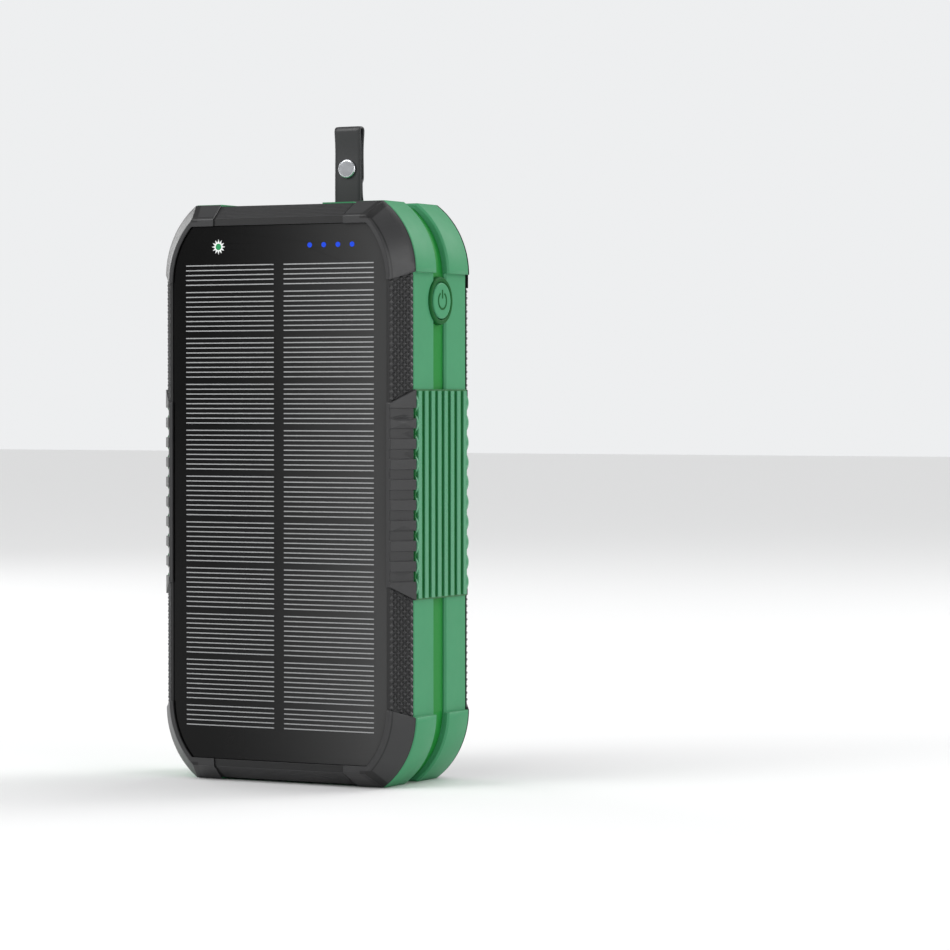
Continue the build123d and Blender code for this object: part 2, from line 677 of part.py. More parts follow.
rib_span = REAR_BAND_Y - FRONT_BAND_Y - 2 * RIB_EDGE_GAP
rib_pitch = rib_span / RIB_COUNT
for side_x, side_name in ((-1, "left"), (1, "right")):
    with BuildPart() as rib_pad:
        with BuildSketch(Plane.YZ.offset(side_x * WIDTH / 2)):
            with Locations((0, MID_Z)):
                Rectangle(rib_span, GRIP_LENGTH)
        extrude(amount=side_x * RIB_BASE)
        with BuildSketch(Plane.YZ.offset(side_x * (WIDTH / 2 - GROOVE_DEPTH))):
            with Locations((0, MID_Z)):
                Rectangle(GROOVE_WIDTH, GRIP_LENGTH)
        extrude(amount=side_x * GROOVE_DEPTH)
        with BuildSketch(Plane.YZ.offset(side_x * (WIDTH / 2 + RIB_BASE))):
            with GridLocations(rib_pitch, 1, RIB_COUNT, 1):
                with Locations((0, MID_Z)):
                    Rectangle(rib_pitch * RIB_SHARE, GRIP_LENGTH - 2 * RIB_INSET)
        extrude(amount=side_x * RIB_HEIGHT)
        for edge_y in (-rib_span / 2 + SCALLOP_WIDTH, rib_span / 2):
            with BuildSketch(Plane.XZ.offset(-edge_y)):
                for place in scallop_places:
                    with Locations((side_x * (SCALLOP_TOP - SCALLOP_RADIUS), place)):
                        Circle(SCALLOP_RADIUS)
                with Locations((side_x * (WIDTH + RIB_BASE + SCALLOP_HEIGHT) / 2, MID_Z)):
                    Rectangle(RIB_BASE + SCALLOP_HEIGHT, GRIP_LENGTH, mode=Mode.INTERSECT)
            extrude(amount=SCALLOP_WIDTH)
    rib_pad.part.label = f"rib_pad_{side_name}"
    pieces.append(rib_pad.part)

# ---------------------------------------------------------------------------
# Rear shell: textured back wall with wells for the crank, plugs and adapter
# ---------------------------------------------------------------------------
USB_A_Z = HEIGHT - USB_A_DROP                     # bottom of each overmould
USB_A_TONGUE_TOP = USB_A_Z + USB_A_BODY_LENGTH + USB_A_TONGUE_LENGTH
USB_C_Z = HEIGHT - USB_C_DROP
USB_C_TIP_TOP = USB_C_Z + USB_C_BODY_LENGTH + USB_C_TIP_LENGTH
POCKET_Z = HEIGHT - FRAME_DROP
PLUG_FLOOR_Y = FIELD_Y - PLUG_SLOT_DEPTH
KNOB_FLOOR_Y = ARM_FLOOR_Y - KNOB_HEIGHT - MOVING_GAP
DISC_WELL_Y = DISC_FLOOR_Y - MOVING_GAP
PIN_SEAT = 0.02           # still fit of a pin or bar in its seat
ADAPTER_FACE_Y = FIELD_Y - 0.3
ADAPTER_MID_Y = ADAPTER_FACE_Y - ADAPTER_THICKNESS / 2


def usb_a_slot(margin):
    """Outline of the USB-A slot: a rectangle round the plug with a round finger notch above it."""
    width = USB_A_BODY_WIDTH + 2 * MOVING_GAP
    low = USB_A_Z - MOVING_GAP
    high = USB_A_TONGUE_TOP + USB_A_SHELF + MOVING_GAP
    with BuildSketch() as profile:
        with Locations((USB_A_X, (low + high) / 2)):
            Rectangle(width + 2 * margin, high - low + 2 * margin)
        with Locations((USB_A_X, high)):
            Circle(USB_A_NOTCH_RADIUS + margin)
    return profile.sketch


def usb_c_slot(margin):
    """Outline of the USB-C slot: wide round the overmould, narrower and rounded round the tip."""
    body_width = USB_C_BODY_WIDTH + 2 * MOVING_GAP
    low = USB_C_Z - MOVING_GAP
    shoulder = USB_C_Z + USB_C_BODY_LENGTH + MOVING_GAP
    high = USB_C_TIP_TOP + USB_C_HEAD_ROOM
    with BuildSketch() as profile:
        with Locations((USB_C_X, (low + shoulder) / 2)):
            Rectangle(body_width + 2 * margin, shoulder - low + 2 * margin)
        with Locations((USB_C_X, (shoulder + high) / 2)):
            Rectangle(2 * (USB_C_NOTCH_RADIUS + margin), high - shoulder + 2 * margin)
        with Locations((USB_C_X, high)):
            Circle(USB_C_NOTCH_RADIUS + margin)
    return profile.sketch


def knob_well(margin):
    """Outline of the knob's well, longer towards the side for the knob's swing."""
    radius = KNOB_RADIUS + KNOB_WELL_GAP + margin
    with BuildSketch() as profile:
        with Locations((KNOB_X, CRANK_Z), (KNOB_X + KNOB_SWING, CRANK_Z)):
            Circle(radius)
        with Locations((KNOB_X + KNOB_SWING / 2, CRANK_Z)):
            Rectangle(KNOB_SWING, 2 * radius)
    return profile.sketch


def arm_well(margin):
    """Outline of the arm's recess as far as the side wall."""
    left = HINGE_X - margin
    right = LIP[0]
    with BuildSketch() as profile:
        with Locations(((left + right) / 2, CRANK_Z)):
            Rectangle(right - left, ARM_WIDTH + 2 * MOVING_GAP + 2 * margin)
    return profile.sketch


def pocket(margin):
    """Outline of the adapter's pocket."""
    with BuildSketch() as profile:
        with Locations(((POCKET_LEFT + POCKET_RIGHT) / 2, POCKET_Z)):
            Rectangle(POCKET_RIGHT - POCKET_LEFT + 2 * margin, POCKET_HEIGHT + 2 * margin)
    return profile.sketch


def disc_well(margin):
    """Outline of the crank disc's well."""
    with BuildSketch() as profile:
        with Locations((DISC_X, CRANK_Z)):
            Circle(DISC_RADIUS + DISC_GAP + margin)
    return profile.sketch


def pad_outline(margin):
    """Shield shape of the charging pad, with an arched top."""
    with BuildSketch() as profile:
        with BuildLine():
            shoulder = HEIGHT - PAD_SHOULDER_DROP
            hip = HEIGHT - PAD_HIP_DROP
            tip = (0, HEIGHT - PAD_TIP_DROP)
            ThreePointArc(
                (-PAD_TOP_HALF, shoulder), (0, HEIGHT - PAD_TOP_DROP), (PAD_TOP_HALF, shoulder)
            )
            Polyline((PAD_TOP_HALF, shoulder), (PAD_HIP_HALF, hip), tip)
            Polyline((-PAD_TOP_HALF, shoulder), (-PAD_HIP_HALF, hip), tip)
        make_face()
        fillet(profile.vertices(), PAD_CORNER)
        if margin:
            offset(amount=margin)
    return profile.sketch


def cable_strip(head_x, head_z, width):
    """Straight strip from a plug down past the bottom edge."""
    foot_x = CABLE_FOOT_X if head_x > 0 else -CABLE_FOOT_X
    low = -OVERSHOOT
    with BuildSketch() as profile:
        with BuildLine():
            Polyline(
                (head_x - width / 2, head_z),
                (head_x + width / 2, head_z),
                (foot_x + width / 2, CABLE_FOOT_Z),
                (foot_x + width / 2, low),
                (foot_x - width / 2, low),
                (foot_x - width / 2, CABLE_FOOT_Z),
                close=True,
            )
        make_face()
    return profile.sketch


wells = [
    (disc_well, DISC_WELL_Y),
    (arm_well, ARM_FLOOR_Y - MOVING_GAP),
    (knob_well, KNOB_FLOOR_Y),
    (usb_a_slot, PLUG_FLOOR_Y),
    (usb_c_slot, PLUG_FLOOR_Y),
    (pocket, FIELD_Y - POCKET_DEPTH),
]
cables = [(USB_A_X, USB_A_Z), (USB_C_X, USB_C_Z)]

# The cables lie in grooves that follow the back and the bottom chamfer.
groove_floor = CABLE_SUNK + CABLE_THICKNESS + CABLE_BED


def below_surface(depth):
    """The rear mass shrunk so that its back and its chamfers lie this far under the surface."""
    lean = depth * CHAMFER_LEAN
    return tapered(grow(LIP, -lean), FIELD_Y - depth, grow(PLAIN, -lean), REAR_BAND_Y)


under_groove = below_surface(groove_floor)
cable_top = below_surface(CABLE_SUNK)
cable_bottom = below_surface(CABLE_SUNK + CABLE_THICKNESS)

chevron_top = HEIGHT - PAD_TIP_DROP - CHEVRON_BELOW_PAD
chevron_count = int((chevron_top - CHEVRON_TIP - CHEVRON_FOOT) // CHEVRON_PITCH) + 1
chevron_cuts = []
for index in range(chevron_count):
    ends_z = chevron_top - index * CHEVRON_PITCH
    half = CHEVRON_HALF - index * CHEVRON_SHRINK
    surface_y = FIELD_Y + CHEVRON_OVER
    notch = (0, surface_y, ends_z - CHEVRON_NOTCH)
    tip = (0, surface_y, ends_z - CHEVRON_TIP)
    deep = (0, FIELD_Y - CHEVRON_DEEP, ends_z - CHEVRON_NOTCH - CHEVRON_KEEL)
    for side in (-1, 1):
        chevron_cuts.append(tetrahedron((side * half, surface_y, ends_z), notch, tip, deep))

BAR_Y = REAR_GUARD_Y - BAR_Y_IN
BAR_Z = HEIGHT - BAR_DROP
LOOP_OUTER = BAR_RADIUS + STRAP_LOOP_FIT + STRAP_LOOP
strap_recess_wide = slab(
    -STRAP_RECESS_HALF,
    STRAP_RECESS_HALF,
    REAR_GUARD_Y + OVERSHOOT,
    BAR_Y - LOOP_OUTER - LOOP_ROOM,
    BAR_Z - BAR_RADIUS - LOOP_ROOM,
    HEIGHT + OVERSHOOT,
)
strap_recess_deep = slab(
    -STRAP_HALF_WIDTH - MOVING_GAP,
    STRAP_HALF_WIDTH + MOVING_GAP,
    REAR_GUARD_Y + OVERSHOOT,
    BAR_Y - LOOP_OUTER - MOVING_GAP,
    BAR_Z - LOOP_OUTER - MOVING_GAP,
    HEIGHT + OVERSHOOT,
)
with BuildPart() as bar_seat_cut:
    with BuildSketch(Plane.YZ.offset(-STRAP_RECESS_HALF - BAR_SEAT)):
        with Locations((BAR_Y, BAR_Z)):
            Circle(BAR_RADIUS + PIN_SEAT)
    extrude(amount=2 * (STRAP_RECESS_HALF + BAR_SEAT))
bar_seat = bar_seat_cut.part

side_screw_x = WIDTH / 2 - SCREW_SIDE_X_IN
foot_screw_x = WIDTH / 2 - SCREW_FOOT_X_IN
screw_places = [
    (0, HEIGHT - SCREW_TOP_DROP),
    (side_screw_x, MID_Z + SCREW_SIDE_HALF_SPAN),
    (-side_screw_x, MID_Z + SCREW_SIDE_HALF_SPAN),
    (side_screw_x, MID_Z - SCREW_SIDE_HALF_SPAN),
    (-side_screw_x, MID_Z - SCREW_SIDE_HALF_SPAN),
    (foot_screw_x, SCREW_FOOT_Z),
    (-foot_screw_x, SCREW_FOOT_Z),
]
SCREW_TOP_Y = FIELD_Y - SCREW_SUNK

with BuildPart() as rear_shell:
    add(rear_mass)
    with BuildSketch(Plane.XZ.offset(-BACK_WALL_Y)):
        add(outline(grow(LIP, -GLASS_SIDE_LIP)))
    extrude(amount=BACK_WALL_Y - REAR_BAND_Y, mode=Mode.SUBTRACT)
    for well, floor_y in wells:
        with BuildSketch(Plane.XZ.offset(-BACK_WALL_Y)):
            add(well(WELL_WALL))
            add(outline(LIP), mode=Mode.INTERSECT)
        extrude(amount=BACK_WALL_Y - floor_y + WELL_WALL)
    with BuildSketch(Plane.XZ.offset(-REAR_BAND_Y)):
        Rectangle(FAR, FAR)
        add(outline(grow(BAND_INSIDE, -FIT)), mode=Mode.SUBTRACT)
    extrude(amount=REAR_BAND_Y, mode=Mode.SUBTRACT)
    for well, floor_y in wells:
        with BuildSketch(Plane.XZ.offset(-REAR_GUARD_Y)):
            add(well(0))
        extrude(amount=REAR_GUARD_Y - floor_y, mode=Mode.SUBTRACT)
    add(arm_opening, mode=Mode.SUBTRACT)
    with BuildSketch(Plane.XZ.offset(-(FIELD_Y - USB_A_SHELF_SUNK))):
        with Locations((USB_A_X, USB_A_TONGUE_TOP + MOVING_GAP + USB_A_SHELF / 2)):
            Rectangle(USB_A_BODY_WIDTH + 2 * MOVING_GAP, USB_A_SHELF)
    extrude(amount=PLUG_SLOT_DEPTH - USB_A_SHELF_SUNK)
    with BuildSketch(Plane.YZ.offset(POCKET_RIGHT)):
        with Locations((ADAPTER_MID_Y, POCKET_Z)):
            Rectangle(ADAPTER_TIP_THICKNESS + 2 * MOVING_GAP, ADAPTER_TIP_HEIGHT + 2 * MOVING_GAP)
    extrude(amount=ADAPTER_SOCKET_DEPTH, mode=Mode.SUBTRACT)
    with BuildSketch(Plane.XZ.offset(-FIELD_Y)):
        with Locations(((FRAME_LEFT + FRAME_RIGHT) / 2, POCKET_Z)):
            RectangleRounded(FRAME_RIGHT - FRAME_LEFT, FRAME_HEIGHT, FRAME_CORNER)
            RectangleRounded(
                FRAME_RIGHT - FRAME_LEFT - 2 * FRAME_LINE,
                FRAME_HEIGHT - 2 * FRAME_LINE,
                FRAME_CORNER - FRAME_LINE,
                mode=Mode.SUBTRACT,
            )
    extrude(amount=-FRAME_RAISED)
    with BuildSketch(Plane.XZ.offset(-REAR_GUARD_Y)):
        add(pad_outline(FIT))
    extrude(amount=PAD_RAISED + PAD_SUNK, mode=Mode.SUBTRACT)
    for cut in chevron_cuts:
        add(cut, mode=Mode.SUBTRACT)
    for head_x, head_z in cables:
        strip = cable_strip(head_x, head_z, CABLE_WIDTH + 2 * CABLE_GROOVE_GAP)
        groove = prism(strip, REAR_GUARD_Y, CABLE_END_Y)
        add(groove - under_groove, mode=Mode.SUBTRACT)
    with BuildSketch(Plane.XZ.offset(-REAR_GUARD_Y)):
        with Locations(*screw_places):
            Circle(SCREW_HEAD_RADIUS + FIT)
    extrude(amount=REAR_GUARD_Y - SCREW_TOP_Y + SCREW_HEAD_HEIGHT, mode=Mode.SUBTRACT)
    with BuildSketch(Plane.XZ.offset(-REAR_GUARD_Y)):
        with Locations(*screw_places):
            Circle(SCREW_SHANK_RADIUS + SHANK_GAP)
    extrude(amount=REAR_GUARD_Y - REAR_BAND_Y + WELL_WALL, mode=Mode.SUBTRACT)
    with BuildSketch(Plane.XZ.offset(-DISC_WELL_Y)):
        with Locations((DISC_X, CRANK_Z)):
            Circle(SHAFT_RADIUS + PIN_FIT)
    extrude(amount=WELL_WALL, mode=Mode.SUBTRACT)
    add(strap_recess_wide, mode=Mode.SUBTRACT)
    add(strap_recess_deep, mode=Mode.SUBTRACT)
    add(bar_seat, mode=Mode.SUBTRACT)
rear_shell.part.label = "rear_shell"
pieces.append(rear_shell.part)

with BuildPart() as rear_top_bar:
    add(rear_skin)
    add(slab(-FAR, FAR, REAR_GUARD_Y, REAR_BAND_Y, HEIGHT - CORNER_UP, FAR), mode=Mode.INTERSECT)
    add(rear_mass, mode=Mode.SUBTRACT)
    add(rear_field, mode=Mode.SUBTRACT)
    add(arm_opening, mode=Mode.SUBTRACT)
    add(strap_recess_wide, mode=Mode.SUBTRACT)
    add(strap_recess_deep, mode=Mode.SUBTRACT)
    add(bar_seat, mode=Mode.SUBTRACT)
rear_top_bar.part.label = "rear_top_bar"
pieces.append(rear_top_bar.part)

for side_x, side_name in ((-1, "left"), (1, "right")):
    region = corner_block(side_x, -1, REAR_GUARD_Y, REAR_BAND_Y)
    with BuildPart() as rear_guard:
        add(rear_skin)
        add(region, mode=Mode.INTERSECT)
        add(rear_mass, mode=Mode.SUBTRACT)
        add(rear_inner_lip, mode=Mode.SUBTRACT)
    rear_guard.part.label = f"rear_guard_bottom_{side_name}"
    pieces.append(rear_guard.part)

with BuildPart() as screws:
    with BuildSketch(Plane.XZ.offset(-SCREW_TOP_Y)):
        with Locations(*screw_places):
            Circle(SCREW_HEAD_RADIUS)
    extrude(amount=SCREW_HEAD_HEIGHT)
    with BuildSketch(Plane.XZ.offset(-SCREW_TOP_Y)):
        with Locations(*screw_places):
            Circle(SCREW_SHANK_RADIUS)
    extrude(amount=SCREW_LENGTH)
    with BuildSketch(Plane.XZ.offset(-SCREW_TOP_Y)):
        with Locations(*screw_places):
            Rectangle(CROSS_LENGTH, CROSS_WIDTH)
            Rectangle(CROSS_WIDTH, CROSS_LENGTH)
    extrude(amount=CROSS_DEPTH, mode=Mode.SUBTRACT)
screws.part.label = "screws"
pieces.append(screws.part)

# ---------------------------------------------------------------------------
# Charging pad with its coil behind the wall
# ---------------------------------------------------------------------------
with BuildPart() as charging_pad:
    with BuildSketch(Plane.XZ.offset(-REAR_GUARD_Y)):
        add(pad_outline(0))
    extrude(amount=PAD_RAISED + PAD_SUNK)
    with BuildSketch(Plane.XZ.offset(-REAR_GUARD_Y)):
        add(pad_outline(-PAD_RIM))
    extrude(amount=PAD_DISH, mode=Mode.SUBTRACT)
charging_pad.part.label = "charging_pad"
pieces.append(charging_pad.part)

COIL_Z = HEIGHT - (PAD_TOP_DROP + PAD_TIP_DROP) / 2
with BuildPart() as charging_coil:
    with BuildSketch(Plane.XZ.offset(-(BACK_WALL_Y - COIL_BEHIND))):
        with Locations((0, COIL_Z)):
            Circle(COIL_OUTER)
            Circle(COIL_INNER, mode=Mode.SUBTRACT)
    extrude(amount=COIL_THICKNESS)
charging_coil.part.label = "charging_coil"
pieces.append(charging_coil.part)

with BuildPart() as coil_ferrite:
    with BuildSketch(Plane.XZ.offset(-(BACK_WALL_Y - COIL_BEHIND - COIL_THICKNESS))):
        with Locations((0, COIL_Z)):
            Circle(FERRITE_RADIUS)
    extrude(amount=FERRITE_THICKNESS)
coil_ferrite.part.label = "coil_ferrite"
pieces.append(coil_ferrite.part)

# ---------------------------------------------------------------------------
# Hand crank: disc, hinge pin, arm with its ribbed panel, knob, gears and generator
# ---------------------------------------------------------------------------
channel_half = ARM_WIDTH / 2 + MOVING_GAP
channel_left = DISC_X - CHANNEL_END
slot_left = DISC_X - SLOT_END
with BuildPart() as crank_disc:
    with BuildSketch(Plane.XZ.offset(-ARM_FACE_Y)):
        with Locations((DISC_X, CRANK_Z)):
            Circle(DISC_RADIUS)
    extrude(amount=DISC_THICKNESS)
    with BuildSketch(Plane.XZ.offset(-ARM_FACE_Y)):
        with Locations(((slot_left + WIDTH) / 2, CRANK_Z)):
            Rectangle(WIDTH - slot_left, 2 * channel_half)
    extrude(amount=ARM_THICKNESS + 2 * MOVING_GAP, mode=Mode.SUBTRACT)
    with BuildSketch(Plane.XZ.offset(-ARM_FACE_Y)):
        with Locations(((channel_left + slot_left) / 2, CRANK_Z)):
            Rectangle(slot_left - channel_left, 2 * channel_half)
    extrude(amount=CHANNEL_SHALLOW, mode=Mode.SUBTRACT)
    with BuildSketch(Plane.XY.offset(CRANK_Z - HINGE_PIN_LENGTH / 2)):
        with Locations((HINGE_X, HINGE_Y)):
            Circle(HINGE_PIN_RADIUS + PIN_SEAT)
    extrude(amount=HINGE_PIN_LENGTH, mode=Mode.SUBTRACT)
crank_disc.part.label = "crank_disc"
pieces.append(crank_disc.part)

with BuildPart() as hinge_pin:
    with BuildSketch(Plane.XY.offset(CRANK_Z - HINGE_PIN_LENGTH / 2)):
        with Locations((HINGE_X, HINGE_Y)):
            Circle(HINGE_PIN_RADIUS)
    extrude(amount=HINGE_PIN_LENGTH)
hinge_pin.part.label = "hinge_pin"
pieces.append(hinge_pin.part)

arm_skin = tapered(grow(LIP, ARM_SKIN_GROW), REAR_GUARD_Y, grow(BUMPER, -ARM_SKIN_SUNK), REAR_BAND_Y)
with BuildPart() as crank_arm:
    with BuildSketch(Plane.XZ.offset(-ARM_FACE_Y)):
        with Locations(((HINGE_X - ARM_TAIL + WIDTH) / 2, CRANK_Z)):
            Rectangle(WIDTH - HINGE_X + ARM_TAIL, ARM_WIDTH)
    extrude(amount=ARM_THICKNESS)
    add(arm_skin, mode=Mode.INTERSECT)
    with BuildSketch(Plane.XZ.offset(-ARM_FACE_Y)):
        add(outline(grow(LIP, -ARM_PANEL_RIM)))
        with Locations(((HINGE_X + WIDTH) / 2, CRANK_Z)):
            Rectangle(WIDTH - HINGE_X - 2 * ARM_PANEL_RIM, ARM_WIDTH - 2 * ARM_PANEL_RIM, mode=Mode.INTERSECT)
    extrude(amount=ARM_PANEL_DEPTH, mode=Mode.SUBTRACT)
    with BuildSketch(Plane.XY.offset(CRANK_Z - ARM_WIDTH)):
        with Locations((HINGE_X, HINGE_Y)):
            Circle(HINGE_PIN_RADIUS + PIN_FIT)
    extrude(amount=2 * ARM_WIDTH, mode=Mode.SUBTRACT)
    with BuildSketch(Plane.XZ.offset(-ARM_FLOOR_Y)):
        with Locations((KNOB_X, CRANK_Z)):
            Circle(KNOB_PEG_RADIUS + PIN_FIT)
    extrude(amount=-ARM_THICKNESS / 2, mode=Mode.SUBTRACT)
crank_arm.part.label = "crank_arm"
pieces.append(crank_arm.part)

KNOB_FACE_Y = ARM_FLOOR_Y - 0.2
with BuildPart() as crank_knob:
    with BuildSketch(Plane.XZ.offset(-KNOB_FACE_Y)):
        with Locations((KNOB_X, CRANK_Z)):
            Circle(KNOB_RADIUS)
    extrude(amount=KNOB_HEIGHT - KNOB_HEAD_GAP)
    fillet(crank_knob.edges().sort_by(Axis.Y)[0], KNOB_EDGE)
    with BuildSketch(Plane.XZ.offset(-KNOB_FACE_Y)):
        with Locations((KNOB_X, CRANK_Z)):
            Circle(KNOB_PEG_RADIUS)
    extrude(amount=-(ARM_THICKNESS / 2 - KNOB_HEAD_GAP))
crank_knob.part.label = "crank_knob"
pieces.append(crank_knob.part)


def gear_outline(teeth, first_angle):
    """Spur gear with straight-sided teeth; the backlash is taken off their thickness."""
    pitch_radius = GEAR_MODULE * teeth / 2
    root = pitch_radius - TOOTH_DEDENDUM * GEAR_MODULE
    tip = pitch_radius + TOOTH_ADDENDUM * GEAR_MODULE
    half_pitch = pi * GEAR_MODULE / 4 - GEAR_BACKLASH / 2
    with BuildSketch() as profile:
        Circle(root)
        with PolarLocations(0, teeth, start_angle=first_angle):
            with BuildLine():
                Polyline(
                    (root - TOOTH_ROOT_SINK, half_pitch * TOOTH_ROOT_SHARE),
                    (tip, half_pitch * TOOTH_TIP_SHARE),
                    (tip, -half_pitch * TOOTH_TIP_SHARE),
                    (root - TOOTH_ROOT_SINK, -half_pitch * TOOTH_ROOT_SHARE),
                    close=True,
                )
            make_face()
    return profile.sketch


GEAR_DISTANCE = GEAR_MODULE * (GEAR_TEETH + PINION_TEETH) / 2 + 0.1
PINION_X = DISC_X + GEAR_DISTANCE
GEAR_BACK_Y = DISC_WELL_Y - WELL_WALL - 0.8
GEAR_FRONT_Y = GEAR_BACK_Y - GEAR_THICKNESS
pinion_half_tooth = 180 / PINION_TEETH

with BuildPart() as crank_gear:
    with BuildSketch(Plane.XZ.offset(-GEAR_BACK_Y)):
        with Locations((DISC_X, CRANK_Z)):
            add(gear_outline(GEAR_TEETH, 0))
    extrude(amount=GEAR_THICKNESS)
    with BuildSketch(Plane.XZ.offset(-DISC_FLOOR_Y)):
        with Locations((DISC_X, CRANK_Z)):
            Circle(SHAFT_RADIUS)
    extrude(amount=DISC_FLOOR_Y - GEAR_FRONT_Y)
crank_gear.part.label = "crank_gear"
pieces.append(crank_gear.part)

GENERATOR_Y = GEAR_FRONT_Y - 0.8
GENERATOR_SHAFT_RADIUS = 1.0
GENERATOR_PINION_LENGTH = GEAR_THICKNESS + 0.4
with BuildPart() as generator_pinion:
    with BuildSketch(Plane.XZ.offset(-(GEAR_BACK_Y + PINION_BEHIND))):
        with Locations((PINION_X, CRANK_Z)):
            add(gear_outline(PINION_TEETH, pinion_half_tooth))
    extrude(amount=GENERATOR_PINION_LENGTH)
    with BuildSketch(Plane.XZ.offset(-GEAR_FRONT_Y)):
        with Locations((PINION_X, CRANK_Z)):
            Circle(GENERATOR_SHAFT_RADIUS)
    extrude(amount=GENERATOR_LENGTH / 2)
generator_pinion.part.label = "generator_pinion"
pieces.append(generator_pinion.part)

with BuildPart() as generator:
    with BuildSketch(Plane.XZ.offset(-GENERATOR_Y)):
        with Locations((PINION_X, CRANK_Z)):
            Circle(GENERATOR_RADIUS)
    extrude(amount=GENERATOR_LENGTH)
    fillet(generator.edges().filter_by(GeomType.CIRCLE), GENERATOR_EDGE)
    with BuildSketch(Plane.XZ.offset(-GENERATOR_Y)):
        with Locations((PINION_X, CRANK_Z)):
            Circle(GENERATOR_SHAFT_RADIUS + PIN_FIT)
    extrude(amount=GENERATOR_LENGTH / 2 + GENERATOR_BORE_END, mode=Mode.SUBTRACT)
generator.part.label = "generator"
pieces.append(generator.part)

# ---------------------------------------------------------------------------
# Built-in cables: USB-A and USB-C plugs lying in their slots
# ---------------------------------------------------------------------------
PLUG_FACE_Y = FIELD_Y - PLUG_SUNK
PLUG_BACK_Y = PLUG_FACE_Y - PLUG_THICKNESS
TONGUE_FACE_Y = PLUG_FACE_Y - TONGUE_SUNK
contact_places = [
    (USB_A_X - CONTACT_OUTER_X, CONTACT_OUTER_LENGTH),
    (USB_A_X - CONTACT_INNER_X, CONTACT_INNER_LENGTH),
    (USB_A_X + CONTACT_INNER_X, CONTACT_INNER_LENGTH),
    (USB_A_X + CONTACT_OUTER_X, CONTACT_OUTER_LENGTH),
]
CONTACT_WIDTH = 1.1
CONTACT_THICKNESS = 0.1
CONTACT_FOOT = 1.4
tongue_z = USB_A_Z + USB_A_BODY_LENGTH

with BuildPart() as usb_a_plug:
    with BuildSketch(Plane.XZ.offset(-PLUG_FACE_Y)):
        with Locations((USB_A_X, USB_A_Z + USB_A_BODY_LENGTH / 2)):
            Rectangle(USB_A_BODY_WIDTH, USB_A_BODY_LENGTH)
    extrude(amount=PLUG_THICKNESS)
    fillet(usb_a_plug.edges().filter_by(Axis.Y), PLUG_CORNER)
    chamfer(usb_a_plug.faces().sort_by(Axis.Y)[-1].edges(), PLUG_EDGE)
usb_a_plug.part.label = "usb_a_plug"
pieces.append(usb_a_plug.part)

with BuildPart() as usb_a_tongue:
    with BuildSketch(Plane.XZ.offset(-TONGUE_FACE_Y)):
        with Locations((USB_A_X, tongue_z + USB_A_TONGUE_LENGTH / 2)):
            Rectangle(USB_A_TONGUE_WIDTH, USB_A_TONGUE_LENGTH)
    extrude(amount=USB_A_TONGUE_THICKNESS)
    chamfer(usb_a_tongue.faces().sort_by(Axis.Z)[-1].edges(), PLUG_EDGE)
usb_a_tongue.part.label = "usb_a_tongue"
pieces.append(usb_a_tongue.part)

with BuildPart() as usb_a_contacts:
    for contact_x, contact_length in contact_places:
        with BuildSketch(Plane.XZ.offset(-(TONGUE_FACE_Y + CONTACT_THICKNESS))):
            with Locations((contact_x, tongue_z + CONTACT_FOOT + contact_length / 2)):
                Rectangle(CONTACT_WIDTH, contact_length)
        extrude(amount=CONTACT_THICKNESS)
usb_a_contacts.part.label = "usb_a_contacts"
pieces.append(usb_a_contacts.part)

with BuildPart() as usb_c_plug:
    with BuildSketch(Plane.XZ.offset(-PLUG_FACE_Y)):
        with Locations((USB_C_X, USB_C_Z + USB_C_BODY_LENGTH / 2)):
            Rectangle(USB_C_BODY_WIDTH, USB_C_BODY_LENGTH)
    extrude(amount=PLUG_THICKNESS)
    fillet(usb_c_plug.edges().filter_by(Axis.Y), USB_C_CORNER)
    chamfer(usb_c_plug.faces().sort_by(Axis.Y)[-1].edges(), PLUG_EDGE)
usb_c_plug.part.label = "usb_c_plug"
pieces.append(usb_c_plug.part)

plug_mid_y = (PLUG_FACE_Y + PLUG_BACK_Y) / 2
USB_C_TIP_WALL = 0.35
with BuildPart() as usb_c_tip:
    with BuildSketch(Plane.XY.offset(USB_C_Z + USB_C_BODY_LENGTH)):
        with Locations((USB_C_X, plug_mid_y)):
            RectangleRounded(USB_C_TIP_WIDTH, USB_C_TIP_THICKNESS, USB_C_TIP_THICKNESS * TIP_ROUNDING)
    extrude(amount=USB_C_TIP_LENGTH)
    with BuildSketch(Plane.XY.offset(USB_C_TIP_TOP)):
        with Locations((USB_C_X, plug_mid_y)):
            RectangleRounded(
                USB_C_TIP_WIDTH - 2 * USB_C_TIP_WALL,
                USB_C_TIP_THICKNESS - 2 * USB_C_TIP_WALL,
                USB_C_TIP_THICKNESS * TIP_ROUNDING - USB_C_TIP_WALL,
            )
    extrude(amount=USB_C_TIP_BACK - USB_C_TIP_LENGTH, mode=Mode.SUBTRACT)
usb_c_tip.part.label = "usb_c_tip"
pieces.append(usb_c_tip.part)

for (head_x, head_z), cable_name in zip(cables, ("usb_a_cable", "usb_c_cable")):
    strip = prism(cable_strip(head_x, head_z, CABLE_WIDTH), REAR_GUARD_Y, CABLE_END_Y)
    with BuildPart() as cable:
        add(cable_top)
        add(strip, mode=Mode.INTERSECT)
        add(cable_bottom, mode=Mode.SUBTRACT)
    cable.part.label = cable_name
    pieces.append(cable.part)

